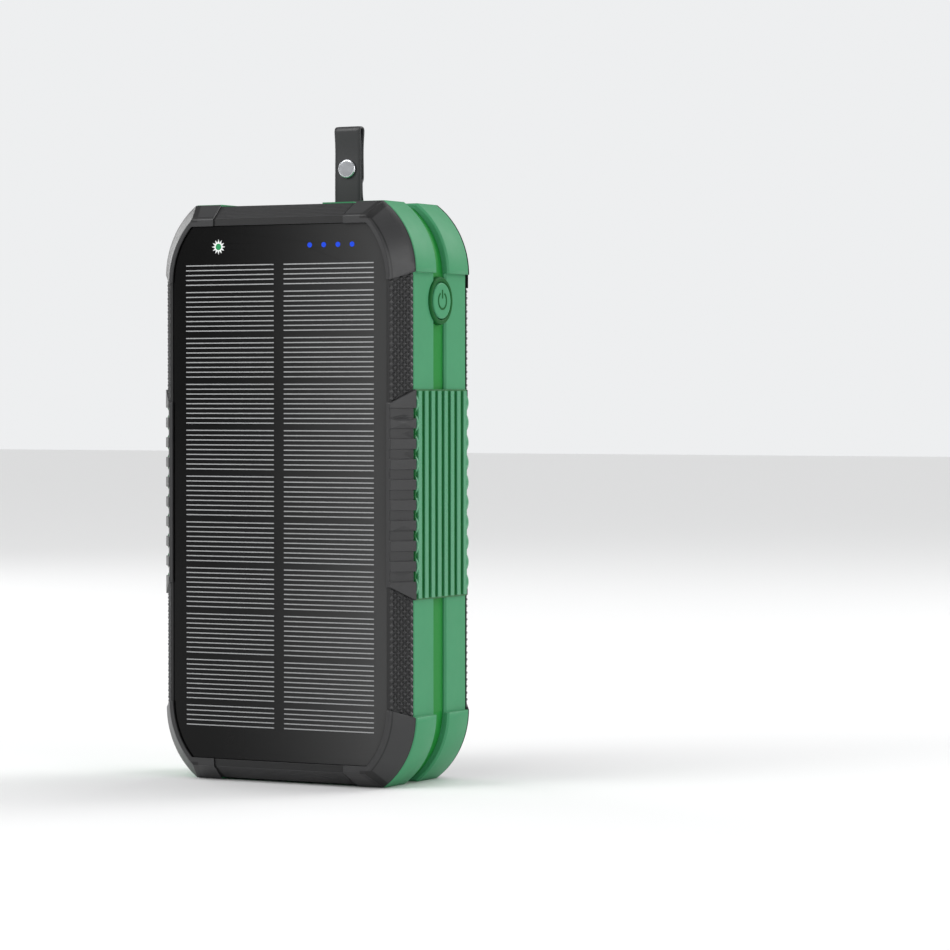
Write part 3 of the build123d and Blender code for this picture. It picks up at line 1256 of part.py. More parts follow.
# ---------------------------------------------------------------------------
# Adapter that is kept in the framed pocket, its tip in a socket at one end
# ---------------------------------------------------------------------------
with BuildPart() as adapter_body:
    with BuildSketch(Plane.XZ.offset(-ADAPTER_FACE_Y)):
        with Locations(((ADAPTER_LEFT + ADAPTER_RIGHT) / 2, POCKET_Z)):
            Rectangle(ADAPTER_RIGHT - ADAPTER_LEFT, ADAPTER_HEIGHT)
    extrude(amount=ADAPTER_THICKNESS)
    chamfer(adapter_body.faces().sort_by(Axis.Y)[-1].edges(), ADAPTER_EDGE)
adapter_body.part.label = "adapter_body"
pieces.append(adapter_body.part)

with BuildPart() as adapter_tip:
    with BuildSketch(Plane.YZ.offset(ADAPTER_RIGHT)):
        with Locations((ADAPTER_MID_Y, POCKET_Z)):
            RectangleRounded(ADAPTER_TIP_THICKNESS, ADAPTER_TIP_HEIGHT, ADAPTER_TIP_CORNER)
    extrude(amount=ADAPTER_TIP_LENGTH)
adapter_tip.part.label = "adapter_tip"
pieces.append(adapter_tip.part)

# ---------------------------------------------------------------------------
# Power button and compass
# ---------------------------------------------------------------------------
BUTTON_FACE_X = WIDTH / 2 + 0.9
BUTTON_RING_FACE_X = WIDTH / 2 + 0.7
with BuildPart() as button_ring:
    with BuildSketch(Plane.YZ.offset(WIDTH / 2 - BAND_WALL)):
        with Locations((0, BUTTON_Z)):
            Circle(BUTTON_RING_RADIUS - SEAT_GAP)
            Circle(BUTTON_RADIUS + FIT, mode=Mode.SUBTRACT)
    extrude(amount=BUTTON_RING_FACE_X - WIDTH / 2 + BAND_WALL)
    chamfer(button_ring.edges().filter_by(GeomType.CIRCLE).sort_by(Axis.X)[-2:], RING_EDGE)
button_ring.part.label = "button_ring"
pieces.append(button_ring.part)

with BuildPart() as power_button:
    with BuildSketch(Plane.YZ.offset(BUTTON_FACE_X - BUTTON_DEPTH)):
        with Locations((0, BUTTON_Z)):
            Circle(BUTTON_RADIUS)
    extrude(amount=BUTTON_DEPTH)
    fillet(power_button.edges().filter_by(GeomType.CIRCLE).sort_by(Axis.X)[-1], BUTTON_EDGE)
power_button.part.label = "power_button"
pieces.append(power_button.part)

SWITCH_SIZE = 6.0
SWITCH_DEPTH = 3.5
with BuildPart() as button_switch:
    with BuildSketch(Plane.YZ.offset(BUTTON_FACE_X - BUTTON_DEPTH - BUTTON_TRAVEL - SWITCH_GAP)):
        with Locations((0, BUTTON_Z)):
            Rectangle(SWITCH_SIZE, SWITCH_SIZE)
    extrude(amount=-SWITCH_DEPTH)
button_switch.part.label = "button_switch"
pieces.append(button_switch.part)

COMPASS_FACE_X = -WIDTH / 2 - 0.9
COMPASS_LENS_THICKNESS = 1.0
COMPASS_CARD_THICKNESS = 1.0
COMPASS_CARD_BEHIND = 2.6      # card's face behind the lens's face
PIVOT_RADIUS = 0.5
with BuildPart() as compass_case:
    with BuildSketch(Plane.YZ.offset(COMPASS_FACE_X)):
        with Locations((0, COMPASS_Z)):
            Circle(COMPASS_RADIUS - SEAT_GAP)
    extrude(amount=COMPASS_DEPTH)
    chamfer(compass_case.edges().filter_by(GeomType.CIRCLE).sort_by(Axis.X)[0], COMPASS_EDGE)
    with BuildSketch(Plane.YZ.offset(COMPASS_FACE_X)):
        with Locations((0, COMPASS_Z)):
            Circle(COMPASS_LENS_RADIUS + SEAT_GAP)
    extrude(amount=COMPASS_DEPTH - COMPASS_FLOOR, mode=Mode.SUBTRACT)
compass_case.part.label = "compass_case"
pieces.append(compass_case.part)

with BuildPart() as compass_lens:
    with BuildSketch(Plane.YZ.offset(COMPASS_FACE_X + LENS_SUNK)):
        with Locations((0, COMPASS_Z)):
            Circle(COMPASS_LENS_RADIUS)
    extrude(amount=COMPASS_LENS_THICKNESS)
compass_lens.part.label = "compass_lens"
pieces.append(compass_lens.part)

card_x = COMPASS_FACE_X + COMPASS_CARD_BEHIND
with BuildPart() as compass_card:
    with BuildSketch(Plane.YZ.offset(card_x)):
        with Locations((0, COMPASS_Z)):
            Circle(COMPASS_CARD_RADIUS)
    extrude(amount=COMPASS_CARD_THICKNESS)
    with BuildSketch(Plane.YZ.offset(card_x)):
        with Locations((0, COMPASS_Z)):
            Circle(PIVOT_RADIUS + PIN_FIT)
    extrude(amount=COMPASS_CARD_THICKNESS, mode=Mode.SUBTRACT)
compass_card.part.label = "compass_card"
pieces.append(compass_card.part)

with BuildPart() as compass_pivot:
    with BuildSketch(Plane.YZ.offset(card_x - PIVOT_SINK)):
        with Locations((0, COMPASS_Z)):
            Circle(PIVOT_RADIUS)
    extrude(amount=COMPASS_DEPTH - COMPASS_FLOOR - COMPASS_CARD_BEHIND + PIVOT_SINK)
compass_pivot.part.label = "compass_pivot"
pieces.append(compass_pivot.part)

# ---------------------------------------------------------------------------
# Carry strap: a band looped round a bar, closed by a snap
# ---------------------------------------------------------------------------
STRAP_TOP_Z = HEIGHT + STRAP_TOP_RISE
SNAP_Z = HEIGHT + SNAP_RISE
with BuildPart() as strap_bar:
    with BuildSketch(Plane.YZ.offset(-STRAP_RECESS_HALF - BAR_SEAT)):
        with Locations((BAR_Y, BAR_Z)):
            Circle(BAR_RADIUS)
    extrude(amount=2 * (STRAP_RECESS_HALF + BAR_SEAT))
strap_bar.part.label = "strap_bar"
pieces.append(strap_bar.part)

with BuildPart() as strap:
    with BuildSketch(Plane.YZ.offset(-STRAP_HALF_WIDTH)):
        with Locations((BAR_Y, BAR_Z)):
            Circle(LOOP_OUTER)
        with Locations((BAR_Y, (BAR_Z + STRAP_TOP_Z) / 2)):
            Rectangle(STRAP_THICKNESS, STRAP_TOP_Z - BAR_Z)
        with Locations((BAR_Y, BAR_Z)):
            Circle(BAR_RADIUS + STRAP_LOOP_FIT, mode=Mode.SUBTRACT)
    extrude(amount=2 * STRAP_HALF_WIDTH)
    with BuildSketch(Plane.XZ.offset(-REAR_GUARD_Y)):
        with Locations((0, SNAP_Z)):
            Circle(SNAP_POST_RADIUS + PIN_SEAT)
    extrude(amount=DEPTH, mode=Mode.SUBTRACT)
strap.part.label = "strap"
pieces.append(strap.part)

with BuildPart() as strap_snap:
    with BuildSketch(Plane.XZ.offset(-(BAR_Y + STRAP_THICKNESS / 2 + SNAP_PROUD))):
        with Locations((0, SNAP_Z)):
            Circle(SNAP_POST_RADIUS)
    extrude(amount=STRAP_THICKNESS + 2 * SNAP_PROUD)
    for cap_y in (BAR_Y + STRAP_THICKNESS / 2 + SNAP_PROUD, BAR_Y - STRAP_THICKNESS / 2):
        with BuildSketch(Plane.XZ.offset(-cap_y)):
            with Locations((0, SNAP_Z)):
                Circle(SNAP_RADIUS)
        extrude(amount=SNAP_PROUD)
    fillet(strap_snap.edges().filter_by(GeomType.CIRCLE).sort_by(Axis.Y)[0], SNAP_PROUD * SNAP_ROUNDING)
    fillet(strap_snap.edges().filter_by(GeomType.CIRCLE).sort_by(Axis.Y)[-1], SNAP_PROUD * SNAP_ROUNDING)
strap_snap.part.label = "strap_snap"
pieces.append(strap_snap.part)

# ---------------------------------------------------------------------------
# Inside: battery cells and the main board
# ---------------------------------------------------------------------------
battery_front_y = TRAY_BACK_Y + CELL_SPACE
battery_back_y = REAR_BAND_Y - CELL_SPACE - CELL_BEHIND
battery_layer = (battery_back_y - battery_front_y) / CELL_STACK_COUNT
battery_half = WIDTH / 2 - BATTERY_MARGIN_X
battery_high = HEIGHT - BATTERY_TOP_DROP
for index in range(CELL_STACK_COUNT):
    back_y = battery_front_y + (index + 1) * battery_layer - CELL_SPACE
    with BuildPart() as battery_cell:
        with BuildSketch(Plane.XZ.offset(-back_y)):
            with Locations((0, (BATTERY_FOOT + battery_high) / 2)):
                Rectangle(2 * battery_half, battery_high - BATTERY_FOOT)
        extrude(amount=battery_layer - CELL_SPACE)
        fillet(battery_cell.edges().filter_by(Axis.Z), CELL_CORNER)
    battery_cell.part.label = f"battery_cell_{index + 1}"
    pieces.append(battery_cell.part)

board_low = battery_high + BOARD_OVER_CELLS
board_high = HEIGHT - BOARD_MARGIN
board_half = WIDTH / 2 - BATTERY_MARGIN_X
with BuildPart() as main_board:
    with BuildSketch(Plane.XZ.offset(-(TRAY_BACK_Y + CELL_SPACE + BOARD_THICKNESS))):
        with Locations((0, (board_low + HEIGHT - CORNER_UP) / 2)):
            Rectangle(2 * board_half, HEIGHT - CORNER_UP - board_low)
        with Locations((0, (board_low + board_high) / 2)):
            Rectangle(2 * GUARD_TOP_X, board_high - board_low)
    extrude(amount=BOARD_THICKNESS)
main_board.part.label = "main_board"
pieces.append(main_board.part)

for piece in pieces:
    export_step(piece, f"parts/{piece.label}.step")
    print(piece.label, len(piece.solids()), round(piece.volume, 1))
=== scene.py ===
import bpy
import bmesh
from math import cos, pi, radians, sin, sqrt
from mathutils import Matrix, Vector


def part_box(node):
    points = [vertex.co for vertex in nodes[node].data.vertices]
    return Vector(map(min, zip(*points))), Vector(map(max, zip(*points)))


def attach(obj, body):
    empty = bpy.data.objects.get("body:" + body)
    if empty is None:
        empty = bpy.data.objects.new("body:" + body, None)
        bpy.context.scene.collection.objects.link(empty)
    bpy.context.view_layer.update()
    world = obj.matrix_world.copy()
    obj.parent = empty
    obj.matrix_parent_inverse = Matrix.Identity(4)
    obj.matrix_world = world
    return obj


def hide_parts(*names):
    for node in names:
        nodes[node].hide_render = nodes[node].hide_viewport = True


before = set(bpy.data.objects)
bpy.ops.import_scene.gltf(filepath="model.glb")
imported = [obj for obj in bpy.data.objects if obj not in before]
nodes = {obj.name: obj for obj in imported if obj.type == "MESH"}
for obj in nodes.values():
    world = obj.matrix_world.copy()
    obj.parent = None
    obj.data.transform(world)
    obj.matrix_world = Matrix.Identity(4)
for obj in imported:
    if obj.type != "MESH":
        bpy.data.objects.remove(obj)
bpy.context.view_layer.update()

# %% [markdown]
# # A rugged solar power bank
# The frame above is the finished design: shells, band, crank, cables and strap, each on the body that
# it moves with. This lesson gives every visible surface its finish, and adds the small shapes that a
# design file leaves out, such as the collector lines of the panel and the weave moulded into the back.
# Everything is in metres, so a helper called mm keeps the sizes readable.

MM = 0.001


def mm(*values):
    """Millimetres as metres: one number, or a vector of three."""
    if len(values) == 1:
        return values[0] * MM
    return Vector(values) * MM


# %% [markdown]
# ## Camera
# A long lens, level with the upper third of the object and turned about thirty degrees to its right,
# shows the solar face and the button side together. The object stands to the left of the middle of
# the view, so the camera is turned a little to the right and down instead of using lens shift, which
# would follow it into every other view.

# %% Camera
EYE = mm(597, -1017, 120)
YAW = radians(30.4)
PAN_RIGHT = radians(2.40)
TILT_DOWN = radians(1.20)
LENS_MM = 142.1

camera_data = bpy.data.cameras.new("camera")
camera_data.lens = LENS_MM
camera_data.sensor_width = 36.0
camera_data.clip_end = 20.0
camera = bpy.data.objects.new("camera", camera_data)
bpy.context.scene.collection.objects.link(camera)
camera.location = EYE
camera.rotation_euler = (pi / 2 - TILT_DOWN, 0, YAW - PAN_RIGHT)
bpy.context.scene.camera = camera
print("camera at", tuple(round(v, 3) for v in EYE), "lens", LENS_MM)

# %% [markdown]
# ## Shader maths
# Patterns are easier to read as sums and products than as node lists, so a small class wraps a socket
# and lets Python's operators add the Math nodes. Everything else goes through one method that makes
# any node from its type, its settings and its inputs.

# %% Shader helpers
def plug(tree, target, value):
    """Sets an input socket to a number, a colour or a link."""
    if isinstance(value, Wire):
        value = value.socket
    if isinstance(value, bpy.types.NodeSocket):
        tree.links.new(value, target)
    else:
        target.default_value = value


class Wire:
    """A socket that takes part in arithmetic."""

    def __init__(self, tree, socket):
        self.tree = tree
        self.socket = socket

    def math(self, operation, first, second=0.0):
        node = self.tree.nodes.new("ShaderNodeMath")
        node.operation = operation
        plug(self.tree, node.inputs[0], first)
        plug(self.tree, node.inputs[1], second)
        return Wire(self.tree, node.outputs[0])

    def __add__(self, other):
        return self.math("ADD", self, other)

    def __sub__(self, other):
        return self.math("SUBTRACT", self, other)

    def __rsub__(self, other):
        return self.math("SUBTRACT", other, self)

    def __mul__(self, other):
        return self.math("MULTIPLY", self, other)

    def __lt__(self, other):
        return self.math("LESS_THAN", self, other)

    def __gt__(self, other):
        return self.math("GREATER_THAN", self, other)

    def absolute(self):
        return self.math("ABSOLUTE", self)

    def clamp(self):
        return self.math("MINIMUM", self.math("MAXIMUM", self, 0.0), 1.0)

    __radd__ = __add__
    __rmul__ = __mul__


class Graph:
    """Makes nodes in one tree."""

    def __init__(self, tree):
        self.tree = tree

    def node(self, kind, settings=None, ports=None, **sockets):
        """A node with its settings first, then its inputs by name, or by place where names repeat."""
        made = self.tree.nodes.new(kind)
        for name, value in (settings or {}).items():
            setattr(made, name, value)
        for name, value in sockets.items():
            plug(self.tree, made.inputs[name.replace("_", " ")], value)
        for place, value in (ports or {}).items():
            plug(self.tree, made.inputs[place], value)
        return made

    def wire(self, made, output):
        return Wire(self.tree, made.outputs[output])


def linear(red, green, blue):
    """A screen colour in steps of 255 as the linear colour that shaders use."""
    def channel(value):
        share = value / 255
        return share / 12.92 if share <= 0.04045 else ((share + 0.055) / 1.055) ** 2.4
    return (channel(red), channel(green), channel(blue), 1)


def shaded(colour, share):
    """The same colour made darker, or lighter with a share above 1."""
    return tuple(channel * share for channel in colour[:3]) + (1,)


def noise(graph, size_mm, detail=2.0):
    """Noise in object space whose features are about this large."""
    coordinates = graph.node("ShaderNodeTexCoord")
    made = graph.node(
        "ShaderNodeTexNoise", Vector=coordinates.outputs["Object"], Scale=1 / mm(size_mm), Detail=detail
    )
    return graph.wire(made, "Fac")


def bump(graph, height, depth_mm):
    """Normal of a surface whose height runs from 0 to this depth."""
    made = graph.node("ShaderNodeBump", Height=height, Distance=mm(depth_mm))
    return made.outputs["Normal"]


def mix_colours(graph, share, first, second):
    """Colour between two, by a share from 0 to 1."""
    made = graph.node("ShaderNodeMix", {"data_type": "RGBA"})
    plug(graph.tree, made.inputs["Factor"], share)
    plug(graph.tree, made.inputs["A"], first)
    plug(graph.tree, made.inputs["B"], second)
    colours = [socket for socket in made.outputs if socket.type == "RGBA"]
    return colours[0]


def new_material(name, **settings):
    """A material and its graph and shader, with plain numbers set on the shader's own sockets."""
    material = bpy.data.materials.new(name)
    material.use_nodes = True
    shader = material.node_tree.nodes["Principled BSDF"]
    for socket, value in settings.items():
        shader.inputs[socket.replace("_", " ")].default_value = value
    return material, Graph(material.node_tree), shader


print("shader helpers ready")

# %% [markdown]
# ## Floor and light
# A product table is a pale sheet under large soft lamps. Four square lamps stand round the object, two
# in front and two behind, so that both faces are lit alike. Two wide suns light the floor as far as the
# eye can see, and a pale room keeps the shadows open. The camera looks at a brighter backdrop than the
# room that lights the object.

# %% Floor and light
FLOOR_SIZE = 12.0
SUN_WIDTH = radians(50)
ROOM_LIGHT, BACKDROP_LIGHT = 0.34, 0.88


def area_lamp(name, place, target, size, power):
    """A square soft lamp that points at a target."""
    data = bpy.data.lights.new(name, "AREA")
    data.size = size
    data.energy = power
    light = bpy.data.objects.new(name, data)
    light.location = place
    light.rotation_euler = (target - place).to_track_quat("-Z", "Y").to_euler()
    bpy.context.scene.collection.objects.link(light)


floor_mesh = bpy.data.meshes.new("floor")
half = FLOOR_SIZE / 2
floor_corners = [(-half, -half, 0), (half, -half, 0), (half, half, 0), (-half, half, 0)]
floor_mesh.from_pydata(floor_corners, [], [(0, 1, 2, 3)])
floor = bpy.data.objects.new("floor", floor_mesh)
bpy.context.scene.collection.objects.link(floor)
floor_pale = new_material("floor_pale", Base_Color=(0.86, 0.86, 0.86, 1), Roughness=0.7)[0]
floor_mesh.materials.append(floor_pale)

middle = mm(0, 0, 95)
area_lamp("front_left", mm(-750, -1100, 800), middle, 0.6, 6.0)
area_lamp("front_right", mm(1300, -500, 500), middle, 0.7, 5.0)
area_lamp("back_left", mm(750, 1100, 800), middle, 0.6, 6.0)
area_lamp("back_right", mm(-1300, 500, 500), middle, 0.7, 5.0)


def soft_sun(name, direction, strength):
    """A wide sun, which lights the floor evenly as far as the eye can see."""
    data = bpy.data.lights.new(name, "SUN")
    data.energy = strength
    data.angle = SUN_WIDTH
    sun = bpy.data.objects.new(name, data)
    sun.rotation_euler = Vector(direction).to_track_quat("-Z", "Y").to_euler()
    bpy.context.scene.collection.objects.link(sun)


soft_sun("sun_front", (0.35, 0.6, -1.0), 1.05)
soft_sun("sun_back", (-0.35, -0.6, -1.0), 1.05)

world = bpy.data.worlds.new("studio")
world.use_nodes = True
world_graph = Graph(world.node_tree)
backdrop = world_graph.node(
    "ShaderNodeBackground", Color=(0.97, 0.98, 0.99, 1), Strength=BACKDROP_LIGHT
)
room = world.node_tree.nodes["Background"]
room.inputs["Color"].default_value = (0.95, 0.96, 0.97, 1)
room.inputs["Strength"].default_value = ROOM_LIGHT
seen = world_graph.node("ShaderNodeLightPath")
both = world_graph.node("ShaderNodeMixShader", Fac=seen.outputs["Is Camera Ray"],
                        ports={1: room.outputs[0], 2: backdrop.outputs[0]})
world.node_tree.links.new(both.outputs[0], world.node_tree.nodes["World Output"].inputs[0])
bpy.context.scene.world = world
bpy.context.scene.view_settings.view_transform = "Standard"

# %% [markdown]
# ## Moulded plastics
# The shells are spark-eroded moulded plastic: a fine even grain, a slightly uneven sheen and a faint
# cloudiness in the colour. One recipe makes them all; only the colour, the sheen and the grain differ.
# The grain is far smaller than any edge, so it is left to a bump, while ribs, diamonds and weave are
# real shapes made later.

# %% Moulded plastic recipe
CLOUD_MM, SHEEN_MM = 9.0, 3.0
SHEEN_WANDER = 0.14
COAT_ROUGHNESS = 0.25


def moulded(name, colour, roughness, grain_mm=0.35, grain_depth=0.02, cloud=0.12, coat=0.0, gloss=0.5):
    """Moulded plastic with grain, cloudiness and uneven sheen."""
    material, graph, shader = new_material(
        name, Coat_Weight=coat, Coat_Roughness=COAT_ROUGHNESS, Specular_IOR_Level=gloss
    )
    clouds = noise(graph, CLOUD_MM, 3.0)
    shade = mix_colours(graph, clouds, shaded(colour, 1 - cloud), shaded(colour, 1 + cloud))
    plug(graph.tree, shader.inputs["Base Color"], shade)
    sheen = noise(graph, SHEEN_MM, 4.0)
    plug(graph.tree, shader.inputs["Roughness"], sheen * SHEEN_WANDER + (roughness - SHEEN_WANDER / 2))
    grain = noise(graph, grain_mm, 2.0)
    plug(graph.tree, shader.inputs["Normal"], bump(graph, grain, grain_depth))
    return material


# The studs of the weave, the diamonds and the end ridges are lighter than the shells they stand on:
# painted light on the studs and painted shade on the floor between them.
black_shell = moulded("black_shell", linear(13, 13, 14), 0.50, 0.35, 0.03)
black_guard = moulded("black_guard", linear(42, 42, 43), 0.42, 0.30, 0.012, coat=0.05)
black_weave = moulded("black_weave", linear(38, 38, 39), 0.42, 0.25, 0.008)
crank_black = moulded("crank_black", linear(30, 30, 31), 0.42, 0.30, 0.012)
rib_black = moulded("rib_black", linear(38, 38, 39), 0.40, 0.30, 0.008)
plug_black = moulded("plug_black", linear(38, 38, 39), 0.44, 0.25, 0.015)
pad_black = moulded("pad_black", linear(46, 46, 47), 0.56, 0.40, 0.02)
cable_black = moulded("cable_black", linear(36, 36, 37), 0.48, 0.20, 0.01)
green_band = moulded("green_band", linear(66, 144, 100), 0.48, 0.30, 0.012, 0.05, gloss=0.25)
green_groove = moulded("green_groove", linear(24, 128, 48), 0.45, 0.30, 0.010, 0.05, gloss=0.25)
green_dark = moulded("green_dark", linear(14, 88, 36), 0.55, 0.30, 0.010, 0.05, gloss=0.15)
black_diamond = moulded("black_diamond", linear(44, 44, 45), 0.40, 0.25, 0.008)
switch_black = moulded("switch_black", linear(40, 40, 42), 0.45)
board_green = moulded("board_green", linear(30, 90, 50), 0.45)
ferrite = moulded("ferrite", linear(70, 70, 74), 0.6)
gear_white = moulded("gear_white", linear(225, 224, 215), 0.45, cloud=0.03)
print("plastics:", len([m for m in bpy.data.materials if m.use_nodes]))

# %% [markdown]
# ## Plastics with painted light and shade
# Three plastics have light and shade painted into their colour by the place on the object. The ribbed
# pads have painted shade on the floor between the ribs and a painted highlight on the ribs. The corner
# guards have painted shade along the crease where the corner bends into the straight edge, along the
# seam of the lip and at their outer edge. The rear shell has painted highlights on the smoother facets
# of its chevrons. Each mask is worked out from the coordinates.

# %% Plastics with painted light and shade
def object_place(graph):
    """The three object coordinates, in millimetres and without their signs."""
    coordinates = graph.node("ShaderNodeTexCoord")
    split = graph.node("ShaderNodeSeparateXYZ", Vector=coordinates.outputs["Object"])
    return [(graph.wire(split, axis) * 1000.0).absolute() for axis in ("X", "Y", "Z")]


def masked(name, first, second, mask_of, first_roughness, second_roughness):
    """Moulded plastic that changes from one colour and roughness to another where the mask is 1, which
    paints light and shade into its colour.
    """
    material, graph, shader = new_material(name, Coat_Weight=0.05, Coat_Roughness=COAT_ROUGHNESS)
    mask = mask_of(*object_place(graph)).clamp()
    clouds = noise(graph, CLOUD_MM, 3.0)
    base = mix_colours(graph, clouds, shaded(first, 0.88), first)
    plug(graph.tree, shader.inputs["Base Color"], mix_colours(graph, mask, base, second))
    sheen = noise(graph, SHEEN_MM, 4.0) * SHEEN_WANDER - SHEEN_WANDER / 2
    roughness = mask * (second_roughness - first_roughness) + first_roughness
    plug(graph.tree, shader.inputs["Roughness"], roughness + sheen)
    plug(graph.tree, shader.inputs["Normal"], bump(graph, noise(graph, 0.3, 2.0), 0.012))
    return material


def ramp(depth, per_mm):
    """A share that starts at 0 where the depth does and gains this much with each millimetre."""
    return (depth * per_mm).clamp()


MIDDLE_Z = 90.0
CHAMFER_X, CHAMFER_Y = 44.0, 17.1
RIB_START_X = 44.55
# Bands of painted shade on the corner guards: the crease, the seam of the lip and the outer edge.
CREASE_X, CREASE_SLOPE, CREASE_HALF = 33.7, 0.41, 1.9
CREASE_UP = 84.3
SEAM_Y, SEAM_HALF = 23.25, 0.24
GUARD_EDGE_Y = 17.5
CHEVRON_REACH_X, CHEVRON_TOP_Z, FIELD_FACE_Y = 17.5, 72.0, 22.95


def rib_painted_light_mask(x, y, z):
    """The ribs of a side pad, which stand higher than the floor between them; the mask gives the ribs a
    painted highlight and the floor painted shade.
    """
    return ramp(x - RIB_START_X, 3.0)


def guard_painted_shade_mask(x, y, z):
    """Painted shade on a guard: along the crease of the corner, along the seam of the lip and along the
    outer edge.
    """
    crease_x = CREASE_X - (y - CHAMFER_Y) * CREASE_SLOPE
    crease = ramp(CREASE_HALF - (x - crease_x).absolute(), 4.0)
    seam = ramp(SEAM_HALF - (y - SEAM_Y).absolute(), 12.0)
    edge = ramp(GUARD_EDGE_Y - y, 6.0)
    return crease * ((z - MIDDLE_Z).absolute() > CREASE_UP) + seam + edge


def chevron_painted_highlight_mask(x, y, z):
    """Painted highlight on the slopes of the chevrons, which lie below the face of the field round them.
    """
    return ramp(FIELD_FACE_Y - y, 20.0) * (x < CHEVRON_REACH_X) * (z < CHEVRON_TOP_Z)


# Painted shade on the floor between the ribs of the side pads, painted highlight on the ribs.
green_ribbed = masked("green_ribbed", linear(22, 108, 50), linear(72, 146, 106), rib_painted_light_mask, 0.45, 0.38)
# Painted highlight on the chevron facets of the rear shell, which are also smoother.
rear_black = masked("rear_black", linear(8, 8, 9), linear(72, 72, 73), chevron_painted_highlight_mask, 0.50, 0.34)
# Painted shade on the crease, the seam and the outer edge of the guards.
creased_guard = masked("creased_guard", linear(44, 44, 45), linear(7, 7, 8), guard_painted_shade_mask, 0.42, 0.40)
print("plastics that change: green_ribbed, rear_black, creased_guard")

# %% [markdown]
# ## Metal, glass and lamps
# Gold contacts, the bright steel of the plugs, brushed screws and the domed snap are metals with a
# roughness that wanders a little. The solar glass is a clear coat over near black with a painted
# reflection that makes it lighter towards the right, so it is an opaque glossy material; the compass
# lens is real clear glass.

# %% Metals, glass and lamps
def metal(name, colour, roughness, wander=0.12, size_mm=1.2):
    """Metal with a roughness that wanders by this much."""
    material, graph, shader = new_material(name, Metallic=1.0)
    smudges = noise(graph, size_mm, 3.0)
    shade = mix_colours(graph, smudges, shaded(colour, 0.86), colour)
    plug(graph.tree, shader.inputs["Base Color"], shade)
    plug(graph.tree, shader.inputs["Roughness"], smudges * wander + (roughness - wander / 2))
    return material


def lamp(name, colour, strength):
    """A small lamp behind a clear window."""
    material, graph, shader = new_material(name, Roughness=0.2)
    cloud = noise(graph, 0.6, 2.0)
    shade = mix_colours(graph, cloud, shaded(colour, 0.7), colour)
    plug(graph.tree, shader.inputs["Base Color"], shade)
    plug(graph.tree, shader.inputs["Emission Color"], shade)
    shader.inputs["Emission Strength"].default_value = strength
    return material


PANEL_SPAN = 70.0


def panel_glass_material():
    """Near-black glass over the cells, with a painted reflection that lightens it towards the right."""
    material, graph, shader = new_material(
        "panel_glass", Specular_IOR_Level=0.14, Coat_Weight=0.2, Coat_Roughness=0.05, Coat_IOR=1.3
    )
    coordinates = graph.node("ShaderNodeTexCoord")
    place = graph.node("ShaderNodeSeparateXYZ", Vector=coordinates.outputs["Object"])
    # Painted reflection: the glass gets lighter towards the right, a little uneven by the cloud noise.
    across = (graph.wire(place, "X") * (1000.0 / PANEL_SPAN) + 0.5).clamp()
    cloud = noise(graph, 60.0, 2.0)
    share = across * across * (cloud * 0.3 + 0.85)
    shade = mix_colours(graph, share, linear(2, 2, 2), linear(62, 62, 62))
    plug(graph.tree, shader.inputs["Base Color"], shade)
    smears = noise(graph, 14.0, 4.0)
    plug(graph.tree, shader.inputs["Roughness"], smears * 0.10 + 0.20)
    return material


gold = metal("gold", linear(255, 224, 136), 0.30)
steel = metal("steel", linear(222, 224, 228), 0.24)
dark_steel = metal("dark_steel", linear(104, 106, 110), 0.36)
snap_metal = metal("snap_metal", linear(228, 230, 234), 0.20, 0.08, 2.0)
copper = metal("copper", linear(214, 130, 80), 0.35)
foil = metal("foil", linear(200, 202, 206), 0.45)
motor = metal("motor", linear(180, 182, 186), 0.35)
panel_glass = panel_glass_material()
cell_blue = moulded("cell_blue", linear(22, 24, 30), 0.3, 0.4, 0.005, 0.2, 0.4)
green_light = lamp("green_light", linear(40, 150, 90), 0.12)
blue_light = lamp("blue_light", linear(20, 66, 205), 0.45)
card_black = moulded("card_black", linear(30, 32, 34), 0.5, 0.4, 0.004)

lens_clear, lens_graph, lens_shader = new_material(
    "lens_clear", Transmission_Weight=1.0, IOR=1.46, Coat_Roughness=0.05
)
lens_smear = noise(lens_graph, 5.0, 2.0)
lens_tint = mix_colours(lens_graph, lens_smear, (0.93, 0.96, 0.95, 1), (1, 1, 1, 1))
plug(lens_graph.tree, lens_shader.inputs["Base Color"], lens_tint)
plug(lens_graph.tree, lens_shader.inputs["Roughness"], lens_smear * 0.04 + 0.01)
print("materials:", len(bpy.data.materials))

# %% [markdown]
# ## Finishes on the frame's own surfaces
# Most of the finished design shows as it is, so each node only takes its material.

